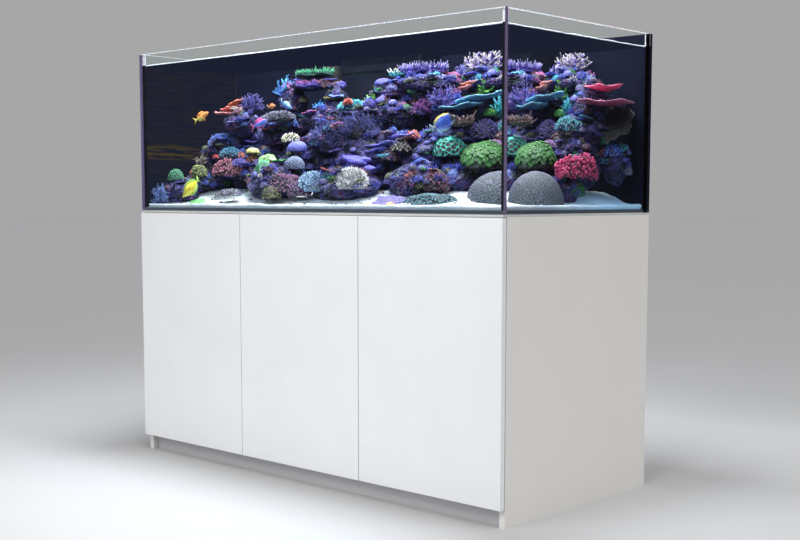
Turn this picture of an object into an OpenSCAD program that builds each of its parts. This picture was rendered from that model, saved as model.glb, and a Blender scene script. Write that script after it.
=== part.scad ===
// Rimless reef aquarium on a three-door cabinet, with its sump and plumbing.
// Millimetres, +Z up, front towards -Y, origin on the floor under the middle of the outer box.

/* [Overall] */
// Width of the cabinet and of the tank
width = 1500; // [1480:10:1600]
// Depth from the doors' faces to the back
depth = 680; // [670:5:720]
// Height of the cabinet without the tank
cabinet_h = 787; // [780:1:820]
// Height of the tank's glass box
tank_h = 503; // [490:1:540]

/* [Cabinet] */
// Thickness of the cabinet's boards
board_t = 18; // [18:1:19]
// Thickness of the doors
door_t = 16; // [16:0.5:17]
// Gap between neighbouring doors
door_gap = 3; // [2.8:0.1:4]
// Gap between a closed door and the cabinet's front edge
rear_gap = 3.5; // [3.3:0.1:4]
// Height of the doors' lower edge above the floor
door_bottom = 50; // [30:1:58]
// Gap above the doors
door_top_gap = 1.5; // [1:0.5:4]
// Height of the plinth under the base panel
plinth_h = 60; // [60:1:80]
// How far the plinth stands back from the side panels' edges
plinth_recess = 17; // [10:1:60]
// Thickness of the boards that close the back
back_t = 16; // [12:1:18]
// Width of the service opening in the back
service_w = 320; // [280:10:400]
// Height of the rails above and below the service opening
rail_h = 100; // [80:10:140]
// Height of the shelf's underside
shelf_z = 420; // [400:5:520]

/* [Tank] */
// Thickness of the tank's wall panes
glass_t = 12; // [10:1:15]
// Thickness of the tank's floor pane
floor_t = 10; // [10:1:15]
// Thickness of the silicone between two panes
seam_t = 1; // [0.5:0.5:2]
// Leg of the silicone bead in each inner corner
bead = 5; // [3:0.5:6]
// Thickness of the levelling mat under the tank
mat_t = 6; // [4:1:8]
// Depth of the water line below the rim
water_drop = 37; // [30:1:45]
// How far the tank's front stands back from the doors' faces
tank_inset = 4; // [2:0.5:6]

/* [Plumbing] */
// Outer radius of the pipes
pipe_r = 16; // [14:0.5:16]
// Wall thickness of the pipes
pipe_wall = 3; // [2:0.5:4]
// Width of the overflow box
weir_w = 320; // [300:10:340]
// Depth of the overflow box from front to back
weir_d = 120; // [110:5:130]

/* [Sump] */
// Length of the sump
sump_w = 800; // [780:10:820]
// Depth of the sump from front to back
sump_d = 440; // [420:10:440]
// Height of the sump's panes
sump_h = 356; // [350:1:360]
// Thickness of the sump's panes
sump_t = 6; // [6:1:8]

/* [Hidden] */
$fn = 48;

half_w = width / 2;
front_y = -depth / 2;
back_y = depth / 2;
inner_x = half_w - board_t;
door_back_y = front_y + door_t;
carcass_y = door_back_y + rear_gap;
board_back_y = back_y - back_t;
base_top = plinth_h + board_t;
ceiling_z = cabinet_h - board_t;
seam_x = width / 6;
door_h = cabinet_h - door_top_gap - door_bottom;

// Door hinges: the pin's place in a door, from its outer edge and from its front face
pin_u = 7;
pin_v = 6;
pin_r = 1.5;
running = 0.05;
cup_r = 17.5;
cup_u = 20.5;
cup_wall = 0.8;
cup_depth = 14;
arm_half_h = 4;
arm_t = 2.6;
arm_u = board_t + 2;
hinge_inset = 100;
hinge_z = [door_bottom + hinge_inset, door_bottom + door_h - hinge_inset];

// Push latches, level with each other near the top of the doors
latch_w = 14;
latch_h = 18;
latch_len = 60;
latch_z = ceiling_z - 60;
latch_y = carcass_y + 2;
plunger_r = 4;
plunger_tip_r = 5.5;
latch_x = [-seam_x - board_t / 2 - latch_w / 2, -seam_x + board_t / 2 + latch_w / 2,
           seam_x + board_t / 2 + latch_w / 2];

// Tank
tank_front_y = front_y + tank_inset;
tank_z = cabinet_h + mat_t;
rim_z = tank_z + tank_h;
floor_top = tank_z + floor_t;
water_z = rim_z - water_drop;
glass_in_x = half_w - glass_t;
glass_in_front = tank_front_y + glass_t;
glass_in_back = back_y - glass_t;

// Overflow box against the back pane
panel_t = 6;
glue = 0.3;
weir_front = glass_in_back - weir_d;
weir_top = water_z - 24;
weir_side_top = water_z + 13;
comb_pitch = 8;
comb_slot = 4;

// Pipes: main drain and emergency drain in the overflow box, return beside it
pipe_y = glass_in_back - 66;
drain_x = 30;
emergency_x = 110;
return_x = -weir_w / 2 - 80;
return_y = glass_in_back - 38;
pipe_places = [[drain_x, pipe_y], [emergency_x, pipe_y], [return_x, return_y]];
bulkhead_r = 21;
flange_r = 30;
access_r = 36;
nozzle_z = water_z - 30;
valve_z = 620;

// Sump, standing on the base panel
sump_left = -600;
sump_right = sump_left + sump_w;
sump_back = 300;
sump_front = sump_back - sump_d;
sump_top = base_top + sump_h;
baffle_x = [sump_left + 220, sump_right - 200];
tray_z = sump_top - 34;
sock_x = baffle_x[1] + sump_t + 94;
sock_y = sump_front + 120;
sock_ring_r = 92;
sock_bag_r = 84;
sock_len = 250;
skimmer_x = (baffle_x[0] + baffle_x[1]) / 2;
skimmer_y = 60;
skimmer_top = sump_top - 14;
pump_x = sump_left + 120;
pump_y = 80;
return_run_z = 520;

// Sand: depth along the front and right panes, how much higher its bank is, and what the bank
// gains from the right to the left
sand_edge = 12;
sand_bank = 36;
sand_gain = 14;

// Reef plan: places in the tank, with z as the centre's height unless the list says otherwise
rocks = [
    // x, y, z, half length, half depth, half height, turn
    [-610, -70, 875, 90, 90, 42, 12], [-400, 0, 915, 110, 120, 75, -8],
    [-170, 30, 920, 105, 135, 85, 15], [70, 20, 925, 115, 140, 90, -10],
    [305, 50, 930, 105, 135, 90, 6], [530, 130, 925, 105, 110, 85, -14],
    [-330, 120, 1045, 95, 105, 48, 10], [-115, 70, 1070, 100, 100, 58, -12],
    [110, 70, 1075, 105, 100, 48, 8], [310, 140, 1085, 90, 85, 58, -6],
    [250, 100, 1160, 85, 80, 22, 0], [410, 225, 1160, 85, 70, 34, 0],
    [-640, -190, 850, 75, 65, 34, 0], [-230, -150, 870, 110, 80, 60, 10],
    [70, -150, 860, 120, 75, 50, -6], [330, -120, 875, 100, 70, 55, 8],
    [-430, 60, 1020, 90, 90, 55, 0], [560, 160, 1010, 75, 90, 45, 0],
    [-315, 110, 1130, 45, 50, 60, 0], [-110, 90, 1125, 45, 50, 55, 0],
    [-215, 100, 1182, 90, 50, 15, 0], [640, 260, 930, 60, 55, 60, 0],
    [530, 215, 1085, 60, 60, 70, 0],
];
domes = [
    // x, y, z, radius
    [605, -80, 810, 98], [515, -20, 930, 66], [400, -35, 960, 46], [-670, -205, 895, 32],
    [-215, -140, 950, 34], [-300, -130, 985, 38], [100, -150, 890, 48], [-60, -150, 915, 30],
    [250, -90, 975, 40], [-500, -140, 925, 36], [640, 70, 905, 62],
];
plates = [
    // x, y, z of the underside, radius
    [430, 80, 1100, 72], [585, 240, 1135, 52], [215, 130, 1190, 76], [-535, 0, 1110, 44],
    [-205, 95, 1205, 68], [120, 40, 1130, 60], [-30, -60, 1010, 55], [615, 245, 1090, 72],
];
bushes = [
    // x, y, z of the foot, radius at the foot, radius at the crown, height
    [345, 285, 1190, 15, 34, 40], [480, 160, 1195, 25, 50, 30], [-510, -90, 1020, 30, 60, 40],
    [-420, 60, 1105, 25, 55, 55], [-260, 110, 1150, 30, 60, 70], [60, 90, 1125, 25, 55, 55],
    [190, 130, 1150, 25, 55, 50], [610, 40, 1010, 30, 65, 45], [-350, -60, 1005, 25, 50, 45],
];
swimmers = [
    // x, y, z, half length, heading
    [-575, -150, 1095, 33, 35], [-540, -275, 870, 42, 222], [-210, -190, 1110, 17, 10],
    [-265, -190, 1060, 33, 40], [465, -180, 1035, 45, 42],
];

// ---------------------------------------------------------------- helpers

module board(from, to) {
    translate(from)
        cube(to - from);
}

// Mirrors its children left to right when flip is true
module flipped(flip) {
    if (flip)
        mirror([1, 0, 0]) children();
    else
        children();
}

// Puts a door's own frame (u from its outer edge, v from its face) into the cabinet
module at_door_edge(edge_x, flip) {
    translate([edge_x, front_y, 0])
        flipped(flip) children();
}

module rod_y(x, z, y0, y1, r) {
    translate([x, y0, z])
        rotate([-90, 0, 0]) cylinder(h = y1 - y0, r = r);
}

module rod_x(y, z, x0, x1, r) {
    translate([x0, y, z])
        rotate([0, 90, 0]) cylinder(h = x1 - x0, r = r);
}

module rod_z(x, y, z0, z1, r) {
    translate([x, y, z0])
        cylinder(h = z1 - z0, r = r);
}

// Closed box of four walls and a floor, as five panes a glue line apart
module pane_box(x0, x1, y0, y1, z0, z1, t) {
    board([x0, y0, z0], [x1, y0 + t, z1]);
    board([x0, y1 - t, z0], [x1, y1, z1]);
    for (x = [x0, x1 - t])
        board([x, y0 + t + glue, z0], [x + t, y1 - t - glue, z1]);
    board([x0 + t + glue, y0 + t + glue, z0], [x1 - t - glue, y1 - t - glue, z0 + t]);
}

// ---------------------------------------------------------------- cabinet

module side_panel() {
    color("gainsboro")
        board([-half_w, carcass_y, 0], [-inner_x, back_y, cabinet_h]);
}

module side_panel_left() {
    side_panel();
}

module side_panel_right() {
    flipped(true) side_panel();
}

module base_panel() {
    color("whitesmoke")
        board([-inner_x, carcass_y, plinth_h], [inner_x, board_back_y, base_top]);
}

module top_panel() {
    color("whitesmoke")
        difference() {
            board([-inner_x, carcass_y, ceiling_z], [inner_x, board_back_y, cabinet_h]);
            for (p = pipe_places)
                rod_z(p[0], p[1], ceiling_z - 1, cabinet_h + 1, access_r);
        }
}

module divider() {
    color("whitesmoke")
        board([seam_x - board_t / 2, carcass_y, base_top], [seam_x + board_t / 2, 300, ceiling_z]);
}

module front_post() {
    color("whitesmoke")
        board([-seam_x - board_t / 2, carcass_y, base_top],
              [-seam_x + board_t / 2, carcass_y + 80, ceiling_z]);
}

module back_panel() {
    color("gainsboro")
        board([-inner_x, board_back_y, plinth_h], [-service_w / 2, back_y, cabinet_h]);
}

module back_panel_left() {
    back_panel();
}

module back_panel_right() {
    flipped(true) back_panel();
}

module back_rails() {
    color("gainsboro")
        for (z = [plinth_h, cabinet_h - rail_h])
            board([-service_w / 2, board_back_y, z], [service_w / 2, back_y, z + rail_h]);
}

module plinth_front() {
    color("silver")
        board([-inner_x, carcass_y + plinth_recess, 0],
              [inner_x, carcass_y + plinth_recess + board_t, plinth_h]);
}

module plinth_braces() {
    brace_y = carcass_y + plinth_recess + board_t;
    color("silver") {
        board([-inner_x, back_y - board_t, 0], [inner_x, back_y, plinth_h]);
        for (x = [-seam_x, seam_x])
            board([x - board_t / 2, brace_y, 0], [x + board_t / 2, back_y - board_t - glue, plinth_h]);
    }
}

module shelf() {
    color("whitesmoke")
        board([seam_x + board_t / 2 + 1, carcass_y + 30, shelf_z], [inner_x - 1, 300, shelf_z + board_t]);
}

module shelf_pins() {
    color("silver")
        for (y = [carcass_y + 70, 250]) {
            rod_x(y, shelf_z - 2.5, seam_x + board_t / 2, seam_x + board_t / 2 + 10, 2.5);
            rod_x(y, shelf_z - 2.5, inner_x - 10, inner_x, 2.5);
        }
}

// Plastic blocks in the corners between upright and level boards
module corner_blocks() {
    side = 20;
    faces = [[-inner_x, 1], [seam_x - board_t / 2, -1], [seam_x + board_t / 2, 1], [inner_x, -1]];
    color("white")
        for (f = faces, y = [carcass_y + 60, 0, 240], z = [base_top, ceiling_z - side])
            translate([f[0] + (f[1] > 0 ? 0 : -side), y, z])
                cube([side, 2 * side, side]);
}

module door_bumpers() {
    radius = 3;
    color("white")
        for (x = [-seam_x - 5, -seam_x + 5, seam_x + 5.5], z = [base_top + 14, ceiling_z - 12])
            rod_y(x, z, carcass_y - 2.7, carcass_y, radius);
}

// ---------------------------------------------------------------- doors

// A door from its outer edge, which is the hinged one, with its cup bores
module door_board(wide) {
    color("white")
        difference() {
            board([0, 0, door_bottom], [wide, door_t, door_bottom + door_h]);
            for (z = hinge_z)
                rod_y(cup_u, z, door_t - cup_depth, door_t + 1, cup_r);
        }
}

outer_door_w = half_w - seam_x - door_gap / 2;
middle_door_w = 2 * seam_x - door_gap;
middle_edge = seam_x - door_gap / 2;

module door_left() {
    at_door_edge(-half_w, false) door_board(outer_door_w);
}

module door_middle() {
    at_door_edge(middle_edge, true) door_board(middle_door_w);
}

module door_right() {
    at_door_edge(half_w, true) door_board(outer_door_w);
}

// Steel cup that sits in a door's bore, with its flange, ears and pin holes
module hinge_cups() {
    floor_v = door_t - cup_depth;
    flange_t = 1;
    color("lightsteelblue")
        for (z = hinge_z)
            difference() {
                union() {
                    rod_y(cup_u, z, floor_v, door_t + flange_t, cup_r);
                    rod_y(cup_u, z, door_t, door_t + flange_t, 18.8);
                    board([13, door_t, z - 32], [28, door_t + flange_t, z + 32]);
                }
                rod_y(cup_u, z, floor_v + cup_wall, door_t + flange_t + 1, cup_r - cup_wall);
                rod_z(pin_u, pin_v, z - cup_r, z + cup_r, pin_r);
            }
}

module hinge_pins() {
    half_len = 8.9;
    color("dimgray")
        for (z = hinge_z)
            rod_z(pin_u, pin_v, z - half_len, z + half_len, pin_r);
}

module hinge_cups_left() {
    at_door_edge(-half_w, false) hinge_cups();
}

module hinge_cups_middle() {
    at_door_edge(middle_edge, true) hinge_cups();
}

module hinge_cups_right() {
    at_door_edge(half_w, true) hinge_cups();
}

module hinge_pins_left() {
    at_door_edge(-half_w, false) hinge_pins();
}

module hinge_pins_middle() {
    at_door_edge(middle_edge, true) hinge_pins();
}

module hinge_pins_right() {
    at_door_edge(half_w, true) hinge_pins();
}

// Cranked arm: an eye on the pin, a strap out of the cup, and a body on the mounting plate
module hinge_arm(z) {
    eye_r = 2.4;
    bend_v = pin_v - eye_r;
    difference() {
        union() {
            translate([0, 0, z - arm_half_h])
                linear_extrude(2 * arm_half_h) {
                    translate([pin_u, pin_v]) circle(r = eye_r);
                    translate([pin_u, bend_v]) square([arm_u + arm_t - pin_u, arm_t]);
                    translate([arm_u, bend_v]) square([arm_t, 32 - bend_v]);
                }
            board([arm_u, 31, z - 9], [arm_u + 9, 84, z + 9]);
        }
        rod_z(pin_u, pin_v, z - 10, z + 10, pin_r + running);
    }
}

module hinge_arms() {
    color("lightsteelblue")
        for (z = hinge_z) {
            at_door_edge(-half_w, false) hinge_arm(z);
            at_door_edge(middle_edge, true) hinge_arm(z);
            at_door_edge(half_w, true) hinge_arm(z);
        }
}

// Mounting plate between a board's face, at board_u, and the arm
module hinge_plate(z, board_u) {
    board([board_u, 38, z - 24], [arm_u, 72, z + 24]);
}

module hinge_plates() {
    divider_u = middle_edge - (seam_x - board_t / 2);
    color("lightsteelblue")
        for (z = hinge_z) {
            at_door_edge(-half_w, false) hinge_plate(z, board_t);
            at_door_edge(middle_edge, true) hinge_plate(z, divider_u);
            at_door_edge(half_w, true) hinge_plate(z, board_t);
        }
}

module latch_housings() {
    color("lightgray")
        for (x = latch_x)
            difference() {
                board([x - latch_w / 2, latch_y, latch_z - latch_h / 2],
                      [x + latch_w / 2, latch_y + latch_len, latch_z + latch_h / 2]);
                rod_y(x, latch_z, latch_y - 1, latch_y + latch_len - 5, plunger_r + running);
            }
}

// Sprung plunger with a soft tip, just clear of the closed door
module latch_plunger(x) {
    tip_y = door_back_y + 0.3;
    color("whitesmoke") {
        rod_y(x, latch_z, tip_y, tip_y + 2.4, plunger_tip_r);
        rod_y(x, latch_z, tip_y + 1, latch_y + latch_len - 10, plunger_r);
    }
}

module latch_plunger_left() {
    latch_plunger(latch_x[0]);
}

module latch_plunger_middle() {
    latch_plunger(latch_x[1]);
}

module latch_plunger_right() {
    latch_plunger(latch_x[2]);
}

// ---------------------------------------------------------------- tank

module glass_front() {
    color("paleturquoise", 0.35)
        board([-half_w, tank_front_y, tank_z], [half_w, glass_in_front, rim_z]);
}

module glass_back() {
    color([0.04, 0.05, 0.08])
        board([-half_w, glass_in_back, tank_z], [half_w, back_y, rim_z]);
}

module glass_side() {
    color("paleturquoise", 0.35)
        board([-half_w, glass_in_front + seam_t, tank_z], [-glass_in_x, glass_in_back - seam_t, rim_z]);
}

module glass_left() {
    glass_side();
}

module glass_right() {
    flipped(true) glass_side();
}

module glass_floor() {
    color("slategray")
        difference() {
            board([-glass_in_x + seam_t, glass_in_front + seam_t, tank_z],
                  [glass_in_x - seam_t, glass_in_back - seam_t, floor_top]);
            for (p = pipe_places)
                rod_z(p[0], p[1], tank_z - 1, floor_top + 1, bulkhead_r + 0.5);
        }
}

// Three-cornered bead that fills an inner upright corner
module corner_bead() {
    translate([-glass_in_x, glass_in_front, floor_top])
        linear_extrude(rim_z - 3 - floor_top)
            polygon([[0, 0], [bead, 0], [0, bead]]);
}

module tank_seams() {
    color([0.08, 0.08, 0.1])
        for (flip = [false, true])
            flipped(flip) {
                board([-half_w, glass_in_front, tank_z], [-glass_in_x, glass_in_front + seam_t, rim_z]);
                board([-half_w, glass_in_back - seam_t, tank_z], [-glass_in_x, glass_in_back, rim_z]);
                corner_bead();
                translate([0, glass_in_front + glass_in_back, 0])
                    mirror([0, 1, 0]) corner_bead();
                board([-glass_in_x, glass_in_front + seam_t, tank_z],
                      [-glass_in_x + seam_t, glass_in_back - seam_t, floor_top]);
                board([-glass_in_x, glass_in_front, tank_z], [0, glass_in_front + seam_t, floor_top]);
                board([-glass_in_x, glass_in_back - seam_t, tank_z], [0, glass_in_back, floor_top]);
            }
}

module tank_mat() {
    color("lightgray")
        difference() {
            board([-half_w, tank_front_y, cabinet_h], [half_w, back_y, tank_z]);
            for (p = pipe_places)
                rod_z(p[0], p[1], cabinet_h - 1, tank_z + 1, access_r);
        }
}

// ---------------------------------------------------------------- overflow and pipes

module weir_box() {
    x = weir_w / 2;
    color([0.05, 0.06, 0.09]) {
        board([-x, weir_front, floor_top + glue], [x, weir_front + panel_t, weir_top]);
        for (x0 = [-x, x - panel_t])
            board([x0, weir_front + panel_t + glue, floor_top + glue],
                  [x0 + panel_t, glass_in_back - glue, weir_side_top]);
    }
}

// Slotted comb that clips over the overflow's front wall and lifts off
module weir_comb() {
    x = weir_w / 2 - 1;
    back_lip_y = weir_front + panel_t + 0.5;
    lip_t = 1.2;
    slots = floor((2 * x - 16) / comb_pitch);
    color([0.05, 0.06, 0.09]) {
        difference() {
            board([-x, weir_front + 1, weir_top + glue], [x, weir_front + 5, weir_side_top]);
            for (i = [0:slots - 1])
                translate([(i - (slots - 1) / 2) * comb_pitch - comb_slot / 2, weir_front, weir_top + 6])
                    cube([comb_slot, 6, weir_side_top - weir_top - 11]);
        }
        board([-x, weir_front - 2.2, weir_top - 14], [x, weir_front - 0.5, weir_top + 3]);
        board([-x, weir_front - 2.2, weir_top + glue], [x, weir_front + 5, weir_top + 3]);
        board([-x + panel_t, back_lip_y - 2.5, weir_top + glue],
              [x - panel_t, back_lip_y + lip_t, weir_top + 3]);
        board([-x + panel_t, back_lip_y, weir_top - 14], [x - panel_t, back_lip_y + lip_t, weir_top + 3]);
    }
}

module weir_lid() {
    color([0.06, 0.07, 0.1])
        board([-weir_w / 2, weir_front + panel_t + 3, weir_side_top + glue],
              [weir_w / 2, glass_in_back - 1, weir_side_top + 4]);
}

// Flange above the floor pane, threaded barrel through it, and nut below it
module bulkhead(p) {
    nut_r = 33;
    difference() {
        union() {
            rod_z(p[0], p[1], floor_top, floor_top + 8, flange_r);
            rod_z(p[0], p[1], tank_z - 45, floor_top + 1, bulkhead_r);
            translate([p[0], p[1], tank_z - 14])
                cylinder(h = 13.8, r = nut_r, $fn = 6);
        }
        rod_z(p[0], p[1], tank_z - 50, floor_top + 10, pipe_r);
    }
}

module bulkheads() {
    color("dimgray")
        for (p = pipe_places)
            bulkhead(p);
}

module straight_pipe(p, z0, z1) {
    difference() {
        rod_z(p[0], p[1], z0, z1, pipe_r);
        rod_z(p[0], p[1], z0 - 1, z1 + 1, pipe_r - pipe_wall);
    }
}

module drain_pipes() {
    color("gray") {
        straight_pipe(pipe_places[0], tray_z + 20, water_z - 80);
        straight_pipe(pipe_places[1], tray_z + 20, water_z - 18);
    }
}

// The return's route, round at its corners: up from the pump, back, across and up into the tank
module return_run(r, ends) {
    rod_z(pump_x, pump_y, base_top + 150 - ends, return_run_z, r);
    translate([pump_x, pump_y, return_run_z]) sphere(r = r);
    rod_y(pump_x, return_run_z, pump_y, return_y, r);
    translate([pump_x, return_y, return_run_z]) sphere(r = r);
    rod_x(return_y, return_run_z, pump_x, return_x, r);
    translate([return_x, return_y, return_run_z]) sphere(r = r);
    rod_z(return_x, return_y, return_run_z, nozzle_z + ends, r);
}

module return_pipe() {
    color("gray")
        difference() {
            return_run(pipe_r, 0);
            return_run(pipe_r - pipe_wall, 1);
        }
}

// Elbow that turns on the return pipe's top and throws the water forwards
module return_nozzle() {
    cap_r = pipe_r + 4;
    overlap = 24;
    outlet_r = 10;
    outlet_len = 70;
    outlet_z = nozzle_z + outlet_r + 2;
    color([0.08, 0.08, 0.1])
        difference() {
            union() {
                rod_z(return_x, return_y, nozzle_z - overlap, outlet_z + outlet_r + 2, cap_r);
                rod_y(return_x, outlet_z, return_y - outlet_len, return_y, outlet_r);
            }
            rod_z(return_x, return_y, nozzle_z - overlap - 1, nozzle_z + glue, pipe_r + running);
            rod_z(return_x, return_y, nozzle_z, outlet_z + 3, pipe_r - pipe_wall);
            rod_y(return_x, outlet_z, return_y - outlet_len - 1, return_y, outlet_r - 3);
        }
}

// Gate valve on the main drain: a body round the pipe and a bonnet towards the front
valve_front = pipe_y - 70;

module drain_valve() {
    body_r = 26;
    color("lightgray")
        difference() {
            union() {
                rod_z(drain_x, pipe_y, valve_z - 42, valve_z + 42, body_r);
                rod_y(drain_x, valve_z, valve_front, pipe_y, 16);
                for (z = [valve_z - 50, valve_z + 34])
                    rod_z(drain_x, pipe_y, z, z + 16, body_r + 4);
            }
            rod_z(drain_x, pipe_y, valve_z - 60, valve_z + 60, pipe_r);
            rod_y(drain_x, valve_z, valve_front - 1, pipe_y - pipe_r - 2, 4 + running);
        }
}

module valve_wheel() {
    wheel_r = 30;
    hub_y = valve_front - 14;
    color("firebrick") {
        rod_y(drain_x, valve_z, hub_y, pipe_y - pipe_r - 6, 4);
        difference() {
            rod_y(drain_x, valve_z, hub_y, hub_y + 10, wheel_r);
            for (a = [0:72:359])
                translate([drain_x, 0, valve_z])
                    rotate([0, a, 0])
                        rod_y(17, 0, hub_y - 1, hub_y + 11, 7);
        }
    }
}

// ---------------------------------------------------------------- sump

module sump_panes() {
    color("paleturquoise", 0.4)
        pane_box(sump_left, sump_right, sump_front, sump_back, base_top, sump_top, sump_t);
}

module sump_baffles() {
    color("paleturquoise", 0.4)
        for (i = [0, 1])
            board([baffle_x[i], sump_front + sump_t + glue, base_top + sump_t + glue],
                  [baffle_x[i] + sump_t, sump_back - sump_t - glue, sump_top - 70 - 30 * i]);
}

module sock_tray() {
    t = 6;
    x0 = baffle_x[1] + 1;
    x1 = sump_right - sump_t - 0.5;
    y0 = sump_front + sump_t + 0.5;
    y1 = sump_back - sump_t - 0.5;
    color("white") {
        difference() {
            board([x0, y0, tray_z], [x1, y1, tray_z + t]);
            rod_z(sock_x, sock_y, tray_z - 1, tray_z + t + 1, sock_bag_r + 1.5);
        }
        board([x0, y0, tray_z], [x0 + t, y1, tray_z + 26]);
    }
}

// Felt bag that hangs from a plastic ring
module filter_sock() {
    wall = 2;
    ring_z = tray_z + 6.2;
    color("white")
        translate([sock_x, sock_y, ring_z])
            rotate_extrude() {
                translate([sock_bag_r - wall, 0]) square([sock_ring_r - sock_bag_r + wall, 5]);
                translate([sock_bag_r - wall, -sock_len]) square([wall, sock_len + 1]);
                translate([0, -sock_len]) square([sock_bag_r, wall]);
            }
}

module skimmer_body() {
    color("lightgray", 0.6)
        translate([skimmer_x, skimmer_y, 0])
            rotate_extrude()
                polygon([[0, base_top + sump_t], [80, base_top + sump_t], [80, skimmer_top - 90],
                         [40, skimmer_top - 50], [40, skimmer_top + 30], [0, skimmer_top + 30]]);
}

// Collection cup that lifts off the skimmer's neck
module skimmer_cup() {
    wall = 3;
    cup_out = 72;
    cup_h = 120;
    color("lightgray", 0.6)
        translate([skimmer_x, skimmer_y, skimmer_top])
            rotate_extrude() {
                translate([cup_out - wall, 0]) square([wall, cup_h]);
                translate([41, 0]) square([cup_out - 41, wall]);
                translate([41, 0]) square([wall, cup_h - 35]);
            }
}

module return_pump() {
    body_z = base_top + sump_t + 52;
    color([0.12, 0.12, 0.14]) {
        rod_x(pump_y, body_z, pump_x - 60, pump_x + 70, 42);
        rod_z(pump_x, pump_y, body_z, base_top + 150, 22);
        for (x = [pump_x - 50, pump_x + 46])
            board([x, pump_y - 40, base_top + sump_t], [x + 14, pump_y + 40, body_z]);
    }
}

module top_up_reservoir() {
    color("lightblue", 0.5)
        pane_box(330, 690, -200, 180, base_top, base_top + 290, 5);
}

// ---------------------------------------------------------------- contents

// Eases from 0 to 1 as t does
function eased(t) = let (c = min(max(t, 0), 1)) c * c * (3 - 2 * c);

// Height of the sand: low along the front and right panes, with a bank behind
function sand_top(x, y) =
    floor_top + sand_edge
    + (sand_bank + sand_gain * (glass_in_x - x) / (2 * glass_in_x))
      * eased((y - glass_in_front - 60) / 200) * eased((glass_in_x - x - 40) / 250)
    + 2 * sin(x * 0.55) * cos(y * 0.8 + x * 0.2);

// Even steps from a up to, but not including, b
function steps(a, b, n) = [for (i = [0:n - 1]) a + (b - a) * i / n];

// True where sand lies: not inside the overflow box, nor over the return pipe's flange
function sanded(x, y) =
    !(abs(x) < weir_w / 2 && y > weir_front)
    && !(abs(x - return_x) < flange_r && y > return_y - flange_r);

module sand_bed() {
    x1 = glass_in_x - bead - 0.5;
    y0 = glass_in_front + bead + 0.5;
    y1 = glass_in_back - bead - 0.5;
    box_x = weir_w / 2 + 0.5;
    box_y = weir_front - 0.5;
    clear = flange_r + 0.5;
    xs = concat(steps(-x1, return_x - clear, 8), [return_x - clear, return_x + clear],
                steps(-box_x, box_x, 6), steps(box_x, x1, 10), [x1]);
    ys = concat(steps(y0, box_y, 8), [box_y, return_y - clear, y1]);
    nx = len(xs) - 1;
    ny = len(ys) - 1;
    row = ny + 1;
    n = (nx + 1) * row;
    top = [for (x = xs, y = ys) [x, y, sand_top(x, y)]];
    low = [for (x = xs, y = ys) [x, y, floor_top]];
    function filled(i, j) =
        i >= 0 && i < nx && j >= 0 && j < ny
        && sanded((xs[i] + xs[i + 1]) / 2, (ys[j] + ys[j + 1]) / 2);
    function wall(a, b) = [a, b, b + n, a + n];
    cells = [for (i = [0:nx - 1], j = [0:ny - 1]) if (filled(i, j)) [i, j, i * row + j]];
    faces = concat(
        [for (c = cells) [c[2], c[2] + 1, c[2] + row]],
        [for (c = cells) [c[2] + 1, c[2] + row + 1, c[2] + row]],
        [for (c = cells) [c[2] + n, c[2] + row + n, c[2] + row + 1 + n, c[2] + 1 + n]],
        [for (c = cells) if (!filled(c[0], c[1] - 1)) wall(c[2], c[2] + row)],
        [for (c = cells) if (!filled(c[0], c[1] + 1)) wall(c[2] + row + 1, c[2] + 1)],
        [for (c = cells) if (!filled(c[0] - 1, c[1])) wall(c[2] + 1, c[2])],
        [for (c = cells) if (!filled(c[0] + 1, c[1])) wall(c[2] + row, c[2] + row + 1)]
    );
    color("linen")
        polyhedron(concat(top, low), faces);
}

// Lumpy stone: a ball whose radius wavers, squeezed to three half sizes
module stone(rx, ry, rz, seed) {
    rings = 7;
    around = 12;
    function lump(a, b) =
        1 + 0.07 * sin(3 * a + 40 * seed) * cos(b) + 0.05 * cos(5 * a + 70 * seed) * cos(2 * b);
    points = concat(
        [for (i = [1:rings], k = [0:around - 1])
            let (b = -90 + 180 * i / (rings + 1), a = 360 * k / around, s = lump(a, b))
            [rx * s * cos(b) * cos(a), ry * s * cos(b) * sin(a), rz * s * sin(b)]],
        [[0, 0, -rz], [0, 0, rz]]
    );
    south = rings * around;
    faces = concat(
        [for (k = [0:around - 1]) [south, k, (k + 1) % around]],
        [for (i = [0:rings - 2], k = [0:around - 1])
            [i * around + k, (i + 1) * around + k, i * around + (k + 1) % around]],
        [for (i = [0:rings - 2], k = [0:around - 1])
            [i * around + (k + 1) % around, (i + 1) * around + k, (i + 1) * around + (k + 1) % around]],
        [for (k = [0:around - 1])
            [south + 1, (rings - 1) * around + (k + 1) % around, (rings - 1) * around + k]]
    );
    polyhedron(points, faces);
}

module reef_rocks() {
    color("rosybrown")
        for (i = [0:len(rocks) - 1]) {
            r = rocks[i];
            translate([r[0], r[1], r[2]])
                rotate(r[6]) stone(r[3], r[4], r[5], i);
        }
}

module dome_corals() {
    color("mediumseagreen")
        for (d = domes)
            difference() {
                translate([d[0], d[1], d[2]]) sphere(r = d[3]);
                board([d[0] - d[3] - 1, d[1] - d[3] - 1, tank_z - 200],
                      [d[0] + d[3] + 1, d[1] + d[3] + 1, floor_top + 2]);
            }
}

module plate_corals() {
    color("deepskyblue")
        for (p = plates)
            rod_z(p[0], p[1], p[2], p[2] + 12, p[3]);
}

module branching_corals() {
    color("mediumpurple")
        for (b = bushes)
            translate([b[0], b[1], b[2]])
                cylinder(h = b[5], r1 = b[3], r2 = b[4]);
}

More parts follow.
